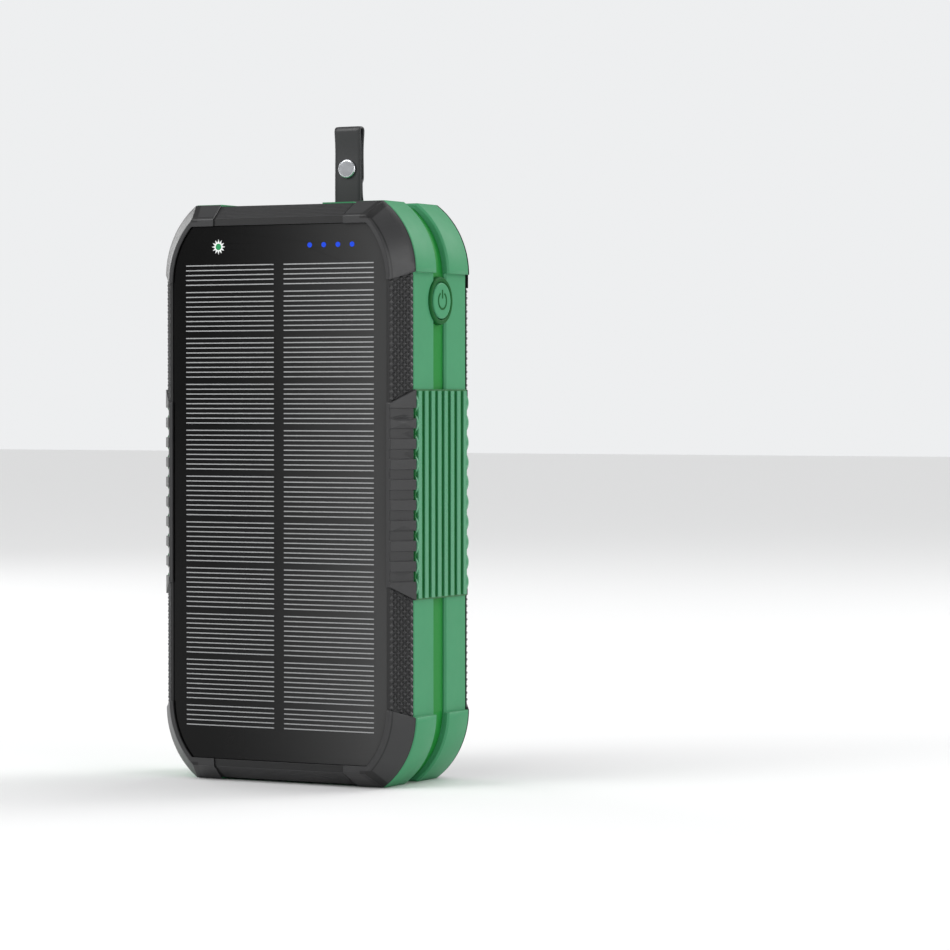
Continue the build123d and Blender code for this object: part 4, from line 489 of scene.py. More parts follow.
# %% Give every node its finish
GUARDS = [name for name in nodes if "_guard_" in name] + ["rear_top_bar"]
GRIPS = [name for name in nodes if name.startswith("grip_")]
FINISH = {
    "front_shell": black_shell, "rear_shell": rear_black,
    **{name: creased_guard for name in GUARDS},
    **{name: black_guard for name in GRIPS},
    "rib_pad_left": green_ribbed, "rib_pad_right": green_ribbed,
    "front_frame": green_band, "rear_frame": green_band, "mid_band": green_groove,
    "solar_glass": panel_glass, "solar_cell_left": cell_blue, "solar_cell_right": cell_blue,
    "panel_board": board_green, "main_board": board_green,
    "status_light": green_light, "charge_lights": blue_light,
    "charging_pad": pad_black, "charging_coil": copper, "coil_ferrite": ferrite,
    "crank_disc": crank_black, "crank_arm": crank_black, "crank_knob": crank_black,
    "hinge_pin": steel, "crank_gear": gear_white, "generator_pinion": gear_white, "generator": motor,
    "usb_a_plug": plug_black, "usb_a_tongue": plug_black, "usb_a_contacts": gold,
    "usb_c_plug": plug_black, "usb_c_tip": steel, "adapter_body": plug_black, "adapter_tip": steel,
    "usb_a_cable": cable_black, "usb_c_cable": cable_black,
    "button_ring": green_dark, "power_button": green_band, "button_switch": switch_black,
    "compass_case": green_band, "compass_lens": lens_clear, "compass_card": card_black,
    "compass_pivot": steel, "strap_bar": dark_steel, "strap_snap": snap_metal,
    "screws": dark_steel, "battery_cell_1": foil, "battery_cell_2": foil, "battery_cell_3": foil,
}
for name, material in FINISH.items():
    node = nodes[name]
    node.data.materials.clear()
    node.data.materials.append(material)
print("guards:", len(GUARDS), "grips:", len(GRIPS))
print("nodes without a finish:", sorted(set(nodes) - set(FINISH)))

# %% [markdown]
# ## Rounded edges
# Moulded edges are never sharp. The node meshes are loose triangles, so a Weld modifier joins them
# first, and a Bevel modifier then rounds every edge that is a real corner, which gives the edges
# their thin line of light. Modifiers leave the frame's own mesh as it is.

# %% Round the edges
WELD_REACH = 0.002
SHARP_ANGLE = radians(32)
EDGE_ROUNDING = {
    0.30: [*GUARDS, *GRIPS, "front_frame", "rear_frame", "charging_pad"],
    0.15: ["front_shell", "rear_shell", "mid_band", "rib_pad_left", "rib_pad_right", "crank_arm",
           "crank_disc", "usb_a_plug", "usb_c_plug", "usb_c_tip", "adapter_body", "adapter_tip",
           "button_ring", "power_button", "compass_case", "usb_a_cable", "usb_c_cable",
           "solar_glass", "usb_a_tongue"],
}
for width, names in EDGE_ROUNDING.items():
    for name in names:
        weld = nodes[name].modifiers.new("weld", "WELD")
        weld.merge_threshold = mm(WELD_REACH)
        rounding = nodes[name].modifiers.new("rounding", "BEVEL")
        rounding.width = mm(width)
        rounding.segments = 2
        rounding.limit_method = "ANGLE"
        rounding.angle_limit = SHARP_ANGLE
        rounding.use_clamp_overlap = True
print("rounded nodes:", sum(len(names) for names in EDGE_ROUNDING.values()))

# %% [markdown]
# ## Shapes that repeat
# The weave of the back, the diamonds of the sides, the ribs of the crank and the silver lines of the
# panel are each one small shape repeated by a rule, which is what Geometry Nodes are for. Each tree
# below is built once, with its sizes as named inputs. A helper puts the tree on an empty object, sets
# the inputs, and turns the result into a plain mesh, because plain meshes export best.

# %% Helpers for node trees that make shapes
KINDS = {
    "float": "NodeSocketFloat", "count": "NodeSocketInt", "vector": "NodeSocketVector",
    "object": "NodeSocketObject", "material": "NodeSocketMaterial",
}


def new_tree(name, inputs):
    """A geometry tree with these named inputs; returns its graph and its group input's outputs."""
    tree = bpy.data.node_groups.new(name, "GeometryNodeTree")
    for label, kind in inputs.items():
        tree.interface.new_socket(label, in_out="INPUT", socket_type=KINDS[kind])
    tree.interface.new_socket("Shape", in_out="OUTPUT", socket_type="NodeSocketGeometry")
    graph = Graph(tree)
    entry = graph.node("NodeGroupInput")
    return graph, {label: Wire(tree, entry.outputs[label]) for label in inputs}


def close_tree(graph, shape, material):
    """Every tree ends in real geometry with a material."""
    solid = graph.node("GeometryNodeRealizeInstances", Geometry=shape)
    dressed = graph.node("GeometryNodeSetMaterial", Geometry=solid.outputs[0], Material=material)
    leave = graph.node("NodeGroupOutput")
    graph.tree.links.new(dressed.outputs[0], leave.inputs["Shape"])
    return graph.tree


def grow(name, tree, body, slot, **values):
    """Runs a tree with these inputs and returns the result as a plain piece on a body."""
    host = bpy.data.objects.new(name + "_host", bpy.data.meshes.new(name + "_host"))
    bpy.context.scene.collection.objects.link(host)
    modifier = host.modifiers.new("nodes", "NODES")
    modifier.node_group = tree
    for item in tree.interface.items_tree:
        key = item.name.replace(" ", "_")
        if item.in_out == "INPUT" and key in values:
            modifier[item.identifier] = values[key]
    bpy.context.view_layer.update()
    evaluated = host.evaluated_get(bpy.context.evaluated_depsgraph_get())
    mesh = bpy.data.meshes.new_from_object(evaluated)
    host.modifiers.remove(modifier)
    bpy.data.objects.remove(host)
    return as_piece(name, mesh, body)


def as_piece(name, mesh, body, material=None):
    """Puts a mesh in the scene as a piece that rides on a body."""
    mesh.name = name
    if material is not None:
        mesh.materials.clear()
        mesh.materials.append(material)
    piece = bpy.data.objects.new(name, mesh)
    bpy.context.scene.collection.objects.link(piece)
    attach(piece, body)
    print(name, "faces", len(mesh.polygons))
    return piece


def turn_to(normal, along):
    """Angles that turn the local Z axis to a normal and the local Y axis along a direction."""
    z_axis = Vector(normal).normalized()
    x_axis = Vector(along).cross(z_axis).normalized()
    y_axis = z_axis.cross(x_axis)
    return Matrix((x_axis, y_axis, z_axis)).transposed().to_euler()


print("tree helpers ready")

# %% [markdown]
# ## A skin to aim at
# The studs may only stand on free surface, never across a screw, a cable groove or the shield. Each
# stud therefore sends four rays down, one at each of its corners, at a copy of the whole case. It
# stays only where all four land at the level of the face it belongs to.

# %% Copy of the case for the rays
skin_mesh = bmesh.new()
for node in nodes.values():
    skin_mesh.from_mesh(node.data)
skin_data = bpy.data.meshes.new("skin")
skin_mesh.to_mesh(skin_data)
skin_mesh.free()
skin = bpy.data.objects.new("skin", skin_data)
bpy.context.scene.collection.objects.link(skin)
print("skin triangles:", len(skin_data.polygons))

# %% [markdown]
# ## The stud tree
# A square grid of points is turned by half a right angle, so that the studs lie in diagonal rows, and
# is moved above the face. The rays decide which points stay. A cone with four sides and a flat top
# makes one stud.

# %% Tree for rows of studs on a flat face
LIFT = 0.002
LEVEL_TOLERANCE = 0.00004


def build_stud_tree():
    graph, given = new_tree("studs on a face", {
        "Surface": "object", "Columns": "count", "Rows": "count", "Pitch": "float",
        "Radius": "float", "Top": "float", "Height": "float", "Margin": "float",
        "Centre": "vector", "Turn": "vector", "Diagonal": "vector", "Material": "material",
    })
    wide = given["Pitch"] * (given["Columns"] - 1)
    tall = given["Pitch"] * (given["Rows"] - 1)
    grid = graph.node("GeometryNodeMeshGrid", Size_X=wide, Size_Y=tall,
                      Vertices_X=given["Columns"], Vertices_Y=given["Rows"])
    points = graph.node("GeometryNodeMeshToPoints", Mesh=grid.outputs["Mesh"])
    turned = graph.node("GeometryNodeTransform", Geometry=points.outputs[0], Rotation=given["Diagonal"])
    turn = graph.node("FunctionNodeEulerToRotation", Euler=given["Turn"])
    normal = graph.node("FunctionNodeRotateVector", Vector=(0, 0, 1), Rotation=turn.outputs[0])
    lifted = graph.node("ShaderNodeVectorMath", {"operation": "SCALE"},
                        Vector=normal.outputs[0], Scale=LIFT)
    place = graph.node("ShaderNodeVectorMath", {"operation": "ADD"},
                       ports={0: lifted.outputs[0], 1: given["Centre"]})
    placed = graph.node("GeometryNodeTransform", Geometry=turned.outputs[0],
                        Rotation=given["Turn"], Translation=place.outputs[0])
    down = graph.node("ShaderNodeVectorMath", {"operation": "SCALE"},
                      Vector=normal.outputs[0], Scale=-1.0)
    target = graph.node("GeometryNodeObjectInfo", Object=given["Surface"])
    here = graph.node("GeometryNodeInputPosition")
    stays = None
    for side, up in ((1, 0), (-1, 0), (0, 1), (0, -1)):
        step = graph.node("ShaderNodeCombineXYZ", X=given["Margin"] * side, Y=given["Margin"] * up)
        aimed = graph.node("FunctionNodeRotateVector", Vector=step.outputs[0], Rotation=turn.outputs[0])
        source = graph.node("ShaderNodeVectorMath", {"operation": "ADD"},
                            ports={0: here.outputs[0], 1: aimed.outputs[0]})
        ray = graph.node("GeometryNodeRaycast", Target_Geometry=target.outputs["Geometry"],
                         Source_Position=source.outputs[0], Ray_Direction=down.outputs[0],
                         Ray_Length=3 * LIFT)
        landed = (graph.wire(ray, "Hit Distance") - LIFT).absolute() < LEVEL_TOLERANCE
        stays = landed if stays is None else stays * landed
    kept = graph.node("GeometryNodeDeleteGeometry", {"domain": "POINT"},
                      Geometry=placed.outputs[0], Selection=1 - stays)
    back_down = graph.node("ShaderNodeVectorMath", {"operation": "SCALE"},
                           Vector=normal.outputs[0], Scale=-LIFT)
    seated = graph.node("GeometryNodeSetPosition", Geometry=kept.outputs[0], Offset=back_down.outputs[0])
    stud = graph.node("GeometryNodeMeshCone", Vertices=4, Side_Segments=1, Fill_Segments=1,
                      Radius_Top=given["Radius"] * given["Top"], Radius_Bottom=given["Radius"],
                      Depth=given["Height"])
    studs = graph.node("GeometryNodeInstanceOnPoints", Points=seated.outputs[0],
                       Instance=stud.outputs["Mesh"], Rotation=turn.outputs[0])
    return close_tree(graph, studs.outputs[0], given["Material"])


stud_tree = build_stud_tree()
print("stud tree nodes:", len(stud_tree.nodes))

# %% [markdown]
# ## Weave on the back, diamonds on the sides
# The back is covered by a fine diagonal weave, about 0.8 mm from knot to knot, which also runs down
# the chamfer at the foot. The four side chamfers carry coarser pointed diamonds, which give a thumb
# some hold.

# %% Studs on the flat faces
DIAGONAL = (0, 0, pi / 4)
UPWARD, ACROSS = (0, 0, 1), (1, 0, 0)
STUD_RADIUS, STUD_MARGIN = 0.64, 0.34      # shares of the pitch


def face_studs(name, normal, along, level, middle_point, count, pitch, height, top, material):
    """Count by count studs on the plane with this normal that lies level millimetres from the origin."""
    normal = Vector(normal).normalized()
    middle = Vector(middle_point)
    centre = middle + normal * (level - middle.dot(normal))
    return grow(
        name, stud_tree, "case", "black_shell", Surface=skin, Columns=count, Rows=count,
        Pitch=mm(pitch), Radius=mm(pitch * STUD_RADIUS), Top=top, Height=mm(height),
        Margin=mm(pitch * STUD_MARGIN), Centre=tuple(centre * MM), Turn=tuple(turn_to(normal, along)),
        Diagonal=DIAGONAL, Material=material,
    )


def plane_level(first, second):
    """Normal of the plane through two points given as (out, back), and its distance from the origin."""
    run = Vector((second[0] - first[0], second[1] - first[1]))
    normal = Vector((run.y, -run.x)).normalized()
    if normal.x < 0:
        normal = -normal
    return normal, normal.dot(Vector(first))


FACE_X = 39.4                              # the chamfers run from CHAMFER_X and CHAMFER_Y to here
REAR_FACE_Y, FRONT_FACE_Y = 23.0, 23.5
FOOT_START_Z, FOOT_END_Z = 0.6, 5.0
CHAMFER_MIDDLE_X = (CHAMFER_X + FACE_X) / 2
face_studs("weave_back", (0, 1, 0), UPWARD, REAR_FACE_Y, (0, REAR_FACE_Y, MIDDLE_Z),
           count=262, pitch=0.80, height=0.26, top=0.25, material=black_weave)
for end, back, face_y, middle_y in (("rear", 1, REAR_FACE_Y, 20.0), ("front", -1, FRONT_FACE_Y, 20.3)):
    slope, slope_level = plane_level((CHAMFER_X, CHAMFER_Y), (FACE_X, face_y))
    for side, hand in ((-1, "left"), (1, "right")):
        face_studs(f"diamonds_{end}_{hand}", (side * slope.x, back * slope.y, 0), UPWARD, slope_level,
                   (side * CHAMFER_MIDDLE_X, back * middle_y, MIDDLE_Z),
                   count=80, pitch=1.48, height=0.50, top=0.25, material=black_diamond)
foot_slope, foot_level = plane_level((-FOOT_START_Z, CHAMFER_Y), (-FOOT_END_Z, REAR_FACE_Y))
face_studs("weave_foot", (0, foot_slope.y, -foot_slope.x), ACROSS, foot_level, (0, 20, 2.8),
           count=90, pitch=0.95, height=0.22, top=0.2, material=black_weave)

# %% [markdown]
# ## Ribs
# The crank arm has slanted ribs in its recessed panel, the channel of the disc has finer ones, and the
# two ends of the front shell have fine flat ridges. All are straight bars at an even pitch, cut off
# square by the panel that they stand in, so the tree lays down bars that are too long and keeps only
# what lies inside a box. A Boolean does that cut exactly.

# %% Tree for ribs inside a panel
def build_rib_tree():
    graph, given = new_tree("ribs in a panel", {
        "Count": "count", "Pitch": "float", "Width": "float", "Length": "float", "Height": "float",
        "Top": "float", "Lean": "vector", "Centre": "vector", "Turn": "vector",
        "Panel": "object", "Material": "material",
    })
    first = given["Pitch"] * (given["Count"] - 1) * -0.5
    start = graph.node("ShaderNodeCombineXYZ", X=first)
    step = graph.node("ShaderNodeCombineXYZ", X=given["Pitch"])
    row = graph.node("GeometryNodeMeshLine", Count=given["Count"],
                     Start_Location=start.outputs[0], Offset=step.outputs[0])
    corner = graph.node("GeometryNodeMeshCone", Vertices=4, Side_Segments=1, Fill_Segments=1,
                        Radius_Top=given["Top"] * sqrt(0.5), Radius_Bottom=sqrt(0.5), Depth=1.0)
    square = graph.node("GeometryNodeTransform", Geometry=corner.outputs["Mesh"], Rotation=DIAGONAL)
    size = graph.node("ShaderNodeCombineXYZ", X=given["Width"], Y=given["Length"], Z=given["Height"])
    bar = graph.node("GeometryNodeTransform", Geometry=square.outputs[0], Scale=size.outputs[0])
    lean = graph.node("FunctionNodeEulerToRotation", Euler=given["Lean"])
    bars = graph.node("GeometryNodeInstanceOnPoints", Points=row.outputs[0],
                      Instance=bar.outputs[0], Rotation=lean.outputs[0])
    solid = graph.node("GeometryNodeRealizeInstances", Geometry=bars.outputs[0])
    placed = graph.node("GeometryNodeTransform", Geometry=solid.outputs[0],
                        Rotation=given["Turn"], Translation=given["Centre"])
    panel = graph.node("GeometryNodeObjectInfo", Object=given["Panel"])
    cut = graph.node("GeometryNodeMeshBoolean", {"operation": "INTERSECT", "solver": "EXACT"})
    graph.tree.links.new(panel.outputs["Geometry"], cut.inputs["Mesh 2"])
    graph.tree.links.new(placed.outputs[0], cut.inputs["Mesh 2"])
    return close_tree(graph, cut.outputs["Mesh"], given["Material"])


def cutting_box(name, low, high):
    """A box that only serves to cut."""
    mesh = bmesh.new()
    bmesh.ops.create_cube(mesh, size=1.0)
    size = mm(*high) - mm(*low)
    middle_point = (mm(*high) + mm(*low)) / 2
    for vertex in mesh.verts:
        vertex.co = Vector(vertex.co[axis] * size[axis] + middle_point[axis] for axis in range(3))
    data = bpy.data.meshes.new(name)
    mesh.to_mesh(data)
    mesh.free()
    box = bpy.data.objects.new(name, data)
    bpy.context.scene.collection.objects.link(box)
    return box


rib_tree = build_rib_tree()
BACK_TURN = tuple(turn_to((0, 1, 0), UPWARD))
CRANK_Z = 161.0
RIB_LEAN = radians(40)
print("rib tree nodes:", len(rib_tree.nodes))

# %% [markdown]
# ### Ribs of the arm
# The ribs give a finger its hold to fold the arm out. They lean forty degrees and stand in the recess of
# the arm, so the cutting box is that recess. They ride on the arm and fold out with it.

# %% Ribs of the crank arm
arm_panel = cutting_box("arm_panel", (-16.3, 22.0, 155.05), (37.6, 22.85, 166.95))
grow(
    "arm_ribs", rib_tree, "arm", "crank_black", Count=34, Pitch=mm(2.66), Width=mm(1.55),
    Length=mm(24), Height=mm(0.55), Top=0.55, Lean=(0, 0, -RIB_LEAN),
    Centre=tuple(mm(10.6, 22.28, CRANK_Z)), Turn=BACK_TURN, Panel=arm_panel, Material=rib_black,
)
bpy.data.objects.remove(arm_panel)

# %% [markdown]
# ### Ribs of the disc
# The channel across the disc carries finer ribs with the same lean. Engraving them in the disc would
# need another cut in the frame, while bars in a box need only the same tree and other numbers.

# %% Finer ribs in the channel of the disc
disc_panel = cutting_box("disc_panel", (-33.1, 19.8, 153.6), (-23.9, 20.5, 168.4))
grow(
    "disc_ribs", rib_tree, "crank", "crank_black", Count=30, Pitch=mm(1.55), Width=mm(0.85),
    Length=mm(30), Height=mm(0.45), Top=0.5, Lean=(0, 0, -RIB_LEAN),
    Centre=tuple(mm(-28.5, 19.88, CRANK_Z)), Turn=BACK_TURN, Panel=disc_panel, Material=rib_black,
)
bpy.data.objects.remove(disc_panel)

# %% [markdown]
# ### Ridges at the ends
# The sloping ends of the front shell have flat ridges that run across them. The tree lays them on the
# slope, and the box is only as wide as the ridges are long.

# %% Fine ridges on the two ends of the front shell
RIDGE_HALF = 22.9
RIDGE_RUN, RIDGE_RISE = 6.4, 4.4
everywhere = cutting_box("everywhere", (-RIDGE_HALF, -30, -10), (RIDGE_HALF, 30, 190))
for word, up, middle_z in (("top", 1, 177.2), ("foot", -1, 2.8)):
    outward = (0, -RIDGE_RISE, RIDGE_RUN * up)
    grow(
        "ridges_front_" + word, rib_tree, "case", "black_shell", Count=9, Pitch=mm(0.82), Width=mm(0.55),
        Length=mm(60), Height=mm(0.22), Top=0.4, Lean=(0, 0, 0), Centre=tuple(mm(0, -20.3, middle_z)),
        Turn=tuple(turn_to(outward, ACROSS)), Panel=everywhere, Material=black_weave,
    )
bpy.data.objects.remove(everywhere)

# %% [markdown]
# ## Silver lines of the solar cells
# Each cell strip carries ninety-one thin silver fingers. They come in groups, with a slightly wider
# gap where one cell ends and the next begins, so the tree works out each line's height from its number.

# %% Tree for the silver lines
LINE_COUNT = 91
LINE_PITCH = 1.505
GROUP_EXTRA = 0.79
LINES_FROM = 17.4
LINE_WIDTH = 0.32
LINE_LIFT = 0.02
GLASS_Y = -23.2


def build_line_tree():
    graph, given = new_tree("lines in groups", {
        "Count": "count", "Pitch": "float", "Group": "float", "Shift": "float", "Extra": "float",
        "Length": "float", "Width": "float", "Thickness": "float", "Start": "vector",
        "Second": "vector", "Material": "material",
    })
    step = graph.node("ShaderNodeCombineXYZ", Z=given["Pitch"])
    row = graph.node("GeometryNodeMeshLine", Count=given["Count"],
                     Start_Location=given["Start"], Offset=step.outputs[0])
    index = graph.wire(graph.node("GeometryNodeInputIndex"), 0)
    group = index.math("FLOOR", index.math("DIVIDE", index + given["Shift"], given["Group"]))
    rise = graph.node("ShaderNodeCombineXYZ", Z=group * given["Extra"])
    spaced = graph.node("GeometryNodeSetPosition", Geometry=row.outputs[0], Offset=rise.outputs[0])
    size = graph.node("ShaderNodeCombineXYZ", X=given["Length"], Y=given["Thickness"], Z=given["Width"])
    finger = graph.node("GeometryNodeMeshCube", Size=size.outputs[0])
    fingers = graph.node("GeometryNodeInstanceOnPoints", Points=spaced.outputs[0],
                         Instance=finger.outputs["Mesh"])
    moved = graph.node("GeometryNodeTransform", Geometry=fingers.outputs[0], Translation=given["Second"])
    both = graph.node("GeometryNodeJoinGeometry")
    graph.tree.links.new(fingers.outputs[0], both.inputs[0])
    graph.tree.links.new(moved.outputs[0], both.inputs[0])
    return close_tree(graph, both.outputs[0], given["Material"])


silver_line = metal("silver_line", linear(176, 177, 178), 0.50, 0.1, 4.0)
cell_low, cell_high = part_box("solar_cell_right")
cell_middle = (cell_low.x + cell_high.x) / 2
grow(
    "silver_lines", build_line_tree(), "case", "cell", Count=LINE_COUNT, Pitch=mm(LINE_PITCH),
    Group=9.0, Shift=4.0, Extra=mm(GROUP_EXTRA), Length=cell_high.x - cell_low.x,
    Width=mm(LINE_WIDTH), Thickness=mm(0.06),
    Start=(cell_middle, mm(GLASS_Y - LINE_LIFT), mm(LINES_FROM)),
    Second=(-2 * cell_middle, 0, 0), Material=silver_line,
)
print("cell width mm:", round((cell_high.x - cell_low.x) * 1000, 2))

# %% [markdown]
# ## Printed and moulded signs
# Three small signs tell what the faces do: a sun beside the panel, a bolt on the charging pad and the
# usual power sign on the button. Each is an outline that is given a thickness, so that it catches the
# light at its edges.

# %% Helper that makes a raised sign from outlines
SAME_HEIGHT = 1e-9


def raised_sign(name, outlines, origin, turn, thickness, body, material, bevel=0.0):
    """Prisms on these outlines (millimetres), standing on a face at origin; joined in one piece."""
    shape = bmesh.new()
    for outline in outlines:
        corners = [shape.verts.new(mm(x, y, 0)) for x, y in outline]
        face = shape.faces.new(corners)
        made = bmesh.ops.extrude_face_region(shape, geom=[face])
        moved = [item for item in made["geom"] if isinstance(item, bmesh.types.BMVert)]
        bmesh.ops.translate(shape, verts=moved, vec=mm(0, 0, thickness))
    if bevel:
        top_edges = [
            edge for edge in shape.edges
            if abs(edge.verts[0].co.z - edge.verts[1].co.z) < SAME_HEIGHT and edge.verts[0].co.z > 0
        ]
        bmesh.ops.bevel(shape, geom=top_edges, offset=mm(bevel), segments=2, affect="EDGES")
    bmesh.ops.recalc_face_normals(shape, faces=shape.faces)
    rotation = turn.to_matrix()
    for vertex in shape.verts:
        vertex.co = rotation @ vertex.co + mm(*origin)
    data = bpy.data.meshes.new(name)
    shape.to_mesh(data)
    shape.free()
    return as_piece(name, data, body, material)


def ring_sector(inner, outer, start, end, steps):
    """Outline of a part of a ring, angles in degrees."""
    angles = [radians(start + (end - start) * index / steps) for index in range(steps + 1)]
    outside = [(outer * cos(a), outer * sin(a)) for a in angles]
    inside = [(inner * cos(a), inner * sin(a)) for a in reversed(angles)]
    return outside + inside


BACK_SIGN = turn_to((0, 1, 0), UPWARD)
FRONT_SIGN = turn_to((0, -1, 0), UPWARD)
RIGHT_SIGN = turn_to((1, 0, 0), UPWARD)
LEFT_SIGN = turn_to((-1, 0, 0), UPWARD)
sign_grey = moulded("sign_grey", linear(96, 97, 99), 0.36, 0.3, 0.004)
sign_white = moulded("sign_white", linear(235, 238, 236), 0.5, 0.3, 0.004, 0.03)

# %% [markdown]
# ### Bolt
# The bolt marks where a telephone lies to be charged. It could be a colour in the pad's shader, but a
# shape of 0.2 mm with rounded edges is crisp from close by.

# %% Bolt on the charging pad
BOLT = [(0, 96.8), (-3.8, 88.4), (-0.3, 88.2), (-0.1, 82.4), (3.7, 90.1), (0.4, 90.3)]
PAD_FACE_Y = 23.75
BOLT_SUNK = 0.05
raised_sign("pad_bolt", [BOLT], (0, PAD_FACE_Y - BOLT_SUNK, 0), BACK_SIGN, 0.25,
            "case", sign_grey, 0.08)

# %% [markdown]
# ### Power sign
# An open ring and a bar, a tenth of a millimetre high. The sign rides on the button and goes in with it.

# %% Power sign on the button
button_low, button_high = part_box("power_button")
button_centre_z = (button_low.z + button_high.z) / 2 / MM
POWER_RING = ring_sector(2.25, 2.85, 120, 420, 40)
POWER_BAR = [(-0.32, 0.7), (0.32, 0.7), (0.32, 3.4), (-0.32, 3.4)]
POWER_SUNK = 0.04
raised_sign(
    "power_sign", [POWER_RING, POWER_BAR], (button_high.x / MM - POWER_SUNK, 0, button_centre_z),
    RIGHT_SIGN, 0.14, "power_button", green_dark,
)

# %% [markdown]
# ### Sun
# Twelve white rays stand round the small green light that shows that the panel is charging. Each ray is
# one outline of five corners, turned round the light by a loop.

# %% Sun with its rays round the status light
SUN_POINTS = 12
SUN_HOLE, SUN_VALLEY, SUN_TIP = 1.02, 1.35, 2.4
SUN_SUNK = 0.02
light_low, light_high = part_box("status_light")
sun_centre = (light_low + light_high) / 2 / MM
rays = []
for index in range(SUN_POINTS):
    middle_angle = 2 * pi * index / SUN_POINTS
    before, after = middle_angle - pi / SUN_POINTS, middle_angle + pi / SUN_POINTS
    corners = [(SUN_HOLE, before), (SUN_VALLEY, before), (SUN_TIP, middle_angle),
               (SUN_VALLEY, after), (SUN_HOLE, after)]
    rays.append([(radius * cos(angle), radius * sin(angle)) for radius, angle in corners])
raised_sign("sun_rays", rays, (sun_centre.x, GLASS_Y + SUN_SUNK, sun_centre.z), FRONT_SIGN, 0.05,
            "case", sign_white)

# %% [markdown]
# ## Compass
# Behind its clear lens the compass has a black dial that turns, with a white ring, a tick every ten
# degrees, four longer marks and a two-coloured needle: green points north, and its green half glows with
# painted light.

# %% Dial of the compass
TICK_COUNT, LONG_TICK_EVERY = 36, 9
TICK_OUTER, RING_OUTER = 7.4, 7.8
LONG_TICK = (5.6, 0.30)                    # inner radius and half width
SHORT_TICK = (6.5, 0.16)
NEEDLE_HALF, NEEDLE_LENGTH = 1.1, 5.2
SIGN_SUNK = 0.02
card_low, card_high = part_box("compass_card")
card_z = (card_low.z + card_high.z) / 2 / MM
card_place = (card_low.x / MM + SIGN_SUNK, 0, card_z)
ticks = []
for index in range(TICK_COUNT):
    angle = 2 * pi * index / TICK_COUNT
    inner, half_width = SHORT_TICK if index % LONG_TICK_EVERY else LONG_TICK
    along = Vector((cos(angle), sin(angle)))
    aside = Vector((-sin(angle), cos(angle))) * half_width
    corners = [along * inner - aside, along * TICK_OUTER - aside,
               along * TICK_OUTER + aside, along * inner + aside]
    ticks.append([tuple(corner) for corner in corners])
ticks.append(ring_sector(TICK_OUTER, RING_OUTER, 0, 359.9, 60))
raised_sign("compass_ticks", ticks, card_place, LEFT_SIGN, 0.08,
            "compass_card", sign_white)
# The green half of the needle uses the lamp recipe, so it glows with painted light, though it is no
# lamp.
needle_green = lamp("needle_green", linear(90, 220, 110), 0.3)
north_tip = [(-NEEDLE_HALF, 0), (NEEDLE_HALF, 0), (0, NEEDLE_LENGTH)]
south_tip = [(-NEEDLE_HALF, 0), (0, -NEEDLE_LENGTH), (NEEDLE_HALF, 0)]
for word, tip, material in (("north", north_tip, needle_green), ("south", south_tip, sign_white)):
    raised_sign("needle_" + word, [tip], card_place, LEFT_SIGN, 0.35,
                "compass_card", material, 0.05)

# %% [markdown]
# ## Strap
# The strap is one flat band. It starts at the back under the snap, goes up to a narrow open loop, comes
# down in front to the little steel bar, passes under the bar, and goes up again to end between its own
# layers, which the snap holds together. A flat strap is swept along its path directly, since a cloth
# simulation would only blur its clean folds.

# %% Sweep a flat band along a path
BAR_Y, BAR_Z = 20.6, 177.0
STRAP_HALF = 4.75
STRAP_THICK = 0.80
STRAP_ROUND = 4.0                     # length of the rounded first end
NARROWEST = 0.12                           # share of the width left at the very end


def smooth_path(corners, resolution):
    """Points along a smooth curve through the plane (depth, height), read from a NURBS spline."""
    curve = bpy.data.curves.new("strap_path", "CURVE")
    curve.dimensions = "3D"
    spline = curve.splines.new("NURBS")
    spline.points.add(len(corners) - 1)
    for point, (depth, height) in zip(spline.points, corners):
        point.co = (0, mm(depth), mm(height), 1)
    spline.order_u = 3
    spline.use_endpoint_u = True
    spline.resolution_u = resolution
    holder = bpy.data.objects.new("strap_path", curve)
    bpy.context.scene.collection.objects.link(holder)
    bpy.context.view_layer.update()
    mesh = bpy.data.meshes.new_from_object(holder.evaluated_get(bpy.context.evaluated_depsgraph_get()))
    points = [vertex.co.copy() for vertex in mesh.vertices]
    bpy.data.objects.remove(holder)
    return points


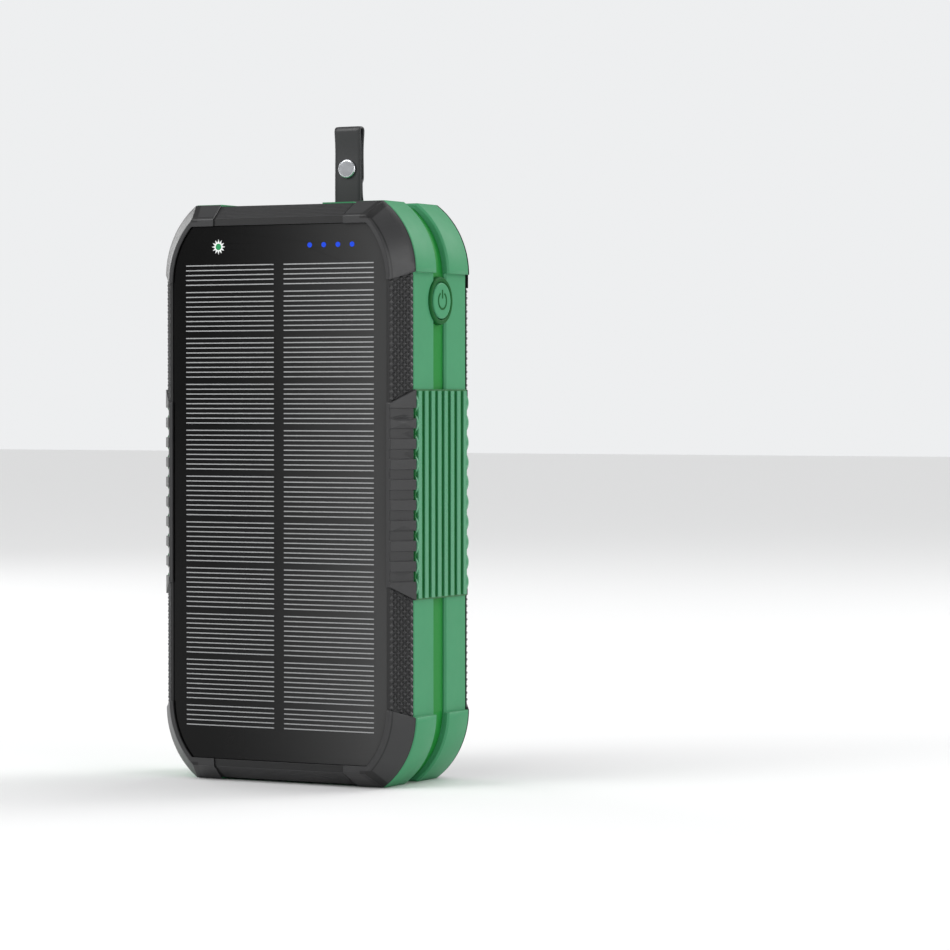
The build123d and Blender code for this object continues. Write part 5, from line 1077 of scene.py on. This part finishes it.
def flat_band(name, points, half_width, thickness, body, material, rounded_end):
    """A band of even thickness whose middle follows these points; its first end may be rounded."""
    shape = bmesh.new()
    side_steps = [-1, -0.94, -0.7, 0, 0.7, 0.94, 1]
    edge_share = [0.45, 0.85, 1, 1, 1, 0.85, 0.45]
    rows = []
    run = 0.0
    for index, point in enumerate(points):
        before = points[max(index - 1, 0)]
        after = points[min(index + 1, len(points) - 1)]
        run += (point - before).length
        direction = (after - before).normalized()
        outward = Vector((1, 0, 0)).cross(direction)
        narrow = 1.0
        if rounded_end and run < mm(rounded_end):
            share = 1 - run / mm(rounded_end)
            narrow = max(sqrt(max(1 - share * share, 0)), NARROWEST)
        top, bottom = [], []
        for step, share in zip(side_steps, edge_share):
            offset = Vector((mm(half_width) * step * narrow, 0, 0))
            top.append(shape.verts.new(point + offset + outward * mm(thickness) / 2 * share))
            bottom.append(shape.verts.new(point + offset - outward * mm(thickness) / 2 * share))
        rows.append(top + bottom[::-1])
    for first, second in zip(rows, rows[1:]):
        count = len(first)
        for index in range(count):
            following = (index + 1) % count
            shape.faces.new((first[index], first[following], second[following], second[index]))
    shape.faces.new(rows[0][::-1])
    shape.faces.new(rows[-1])
    bmesh.ops.recalc_face_normals(shape, faces=shape.faces)
    for face in shape.faces:
        face.smooth = len(face.verts) == 4
    data = bpy.data.meshes.new(name)
    shape.to_mesh(data)
    shape.free()
    return as_piece(name, data, body, material)


LOOP_MIDDLE = 1.5
LOOP_CORNERS = [radians(157.5 + 45 * step) for step in range(6)]
LOOP_REACH = LOOP_MIDDLE / cos(radians(22.5))
round_the_bar = [(BAR_Y + LOOP_REACH * cos(a), BAR_Z + LOOP_REACH * sin(a)) for a in LOOP_CORNERS]
STRAP_PATH = [
    (21.40, 185.6), (21.40, 189.0), (21.35, 192.4), (21.20, 197.0), (21.35, 200.5), (21.70, 203.2),
    (21.85, 205.1), (20.60, 205.7), (19.35, 205.1), (19.50, 203.2), (19.85, 200.5), (19.95, 197.0),
    (19.85, 192.4), (19.80, 188.0), (19.80, 184.0), (19.80, 178.7),
    *round_the_bar, (21.40, 178.7), (21.30, 182.0), (20.60, 184.4), (20.60, 189.0),
]
strap_satin = moulded("strap_satin", linear(40, 40, 42), 0.42, 0.5, 0.012, 0.10, 0.1)
strap_band = flat_band("strap_band", smooth_path(STRAP_PATH, 8), STRAP_HALF, STRAP_THICK,
                       "strap", strap_satin, STRAP_ROUND)
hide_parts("strap")

# %% [markdown]
# ## Clearing up
# The skin has done its work, and only real pieces may be left.

# %% Remove the helper object
bpy.data.objects.remove(skin)
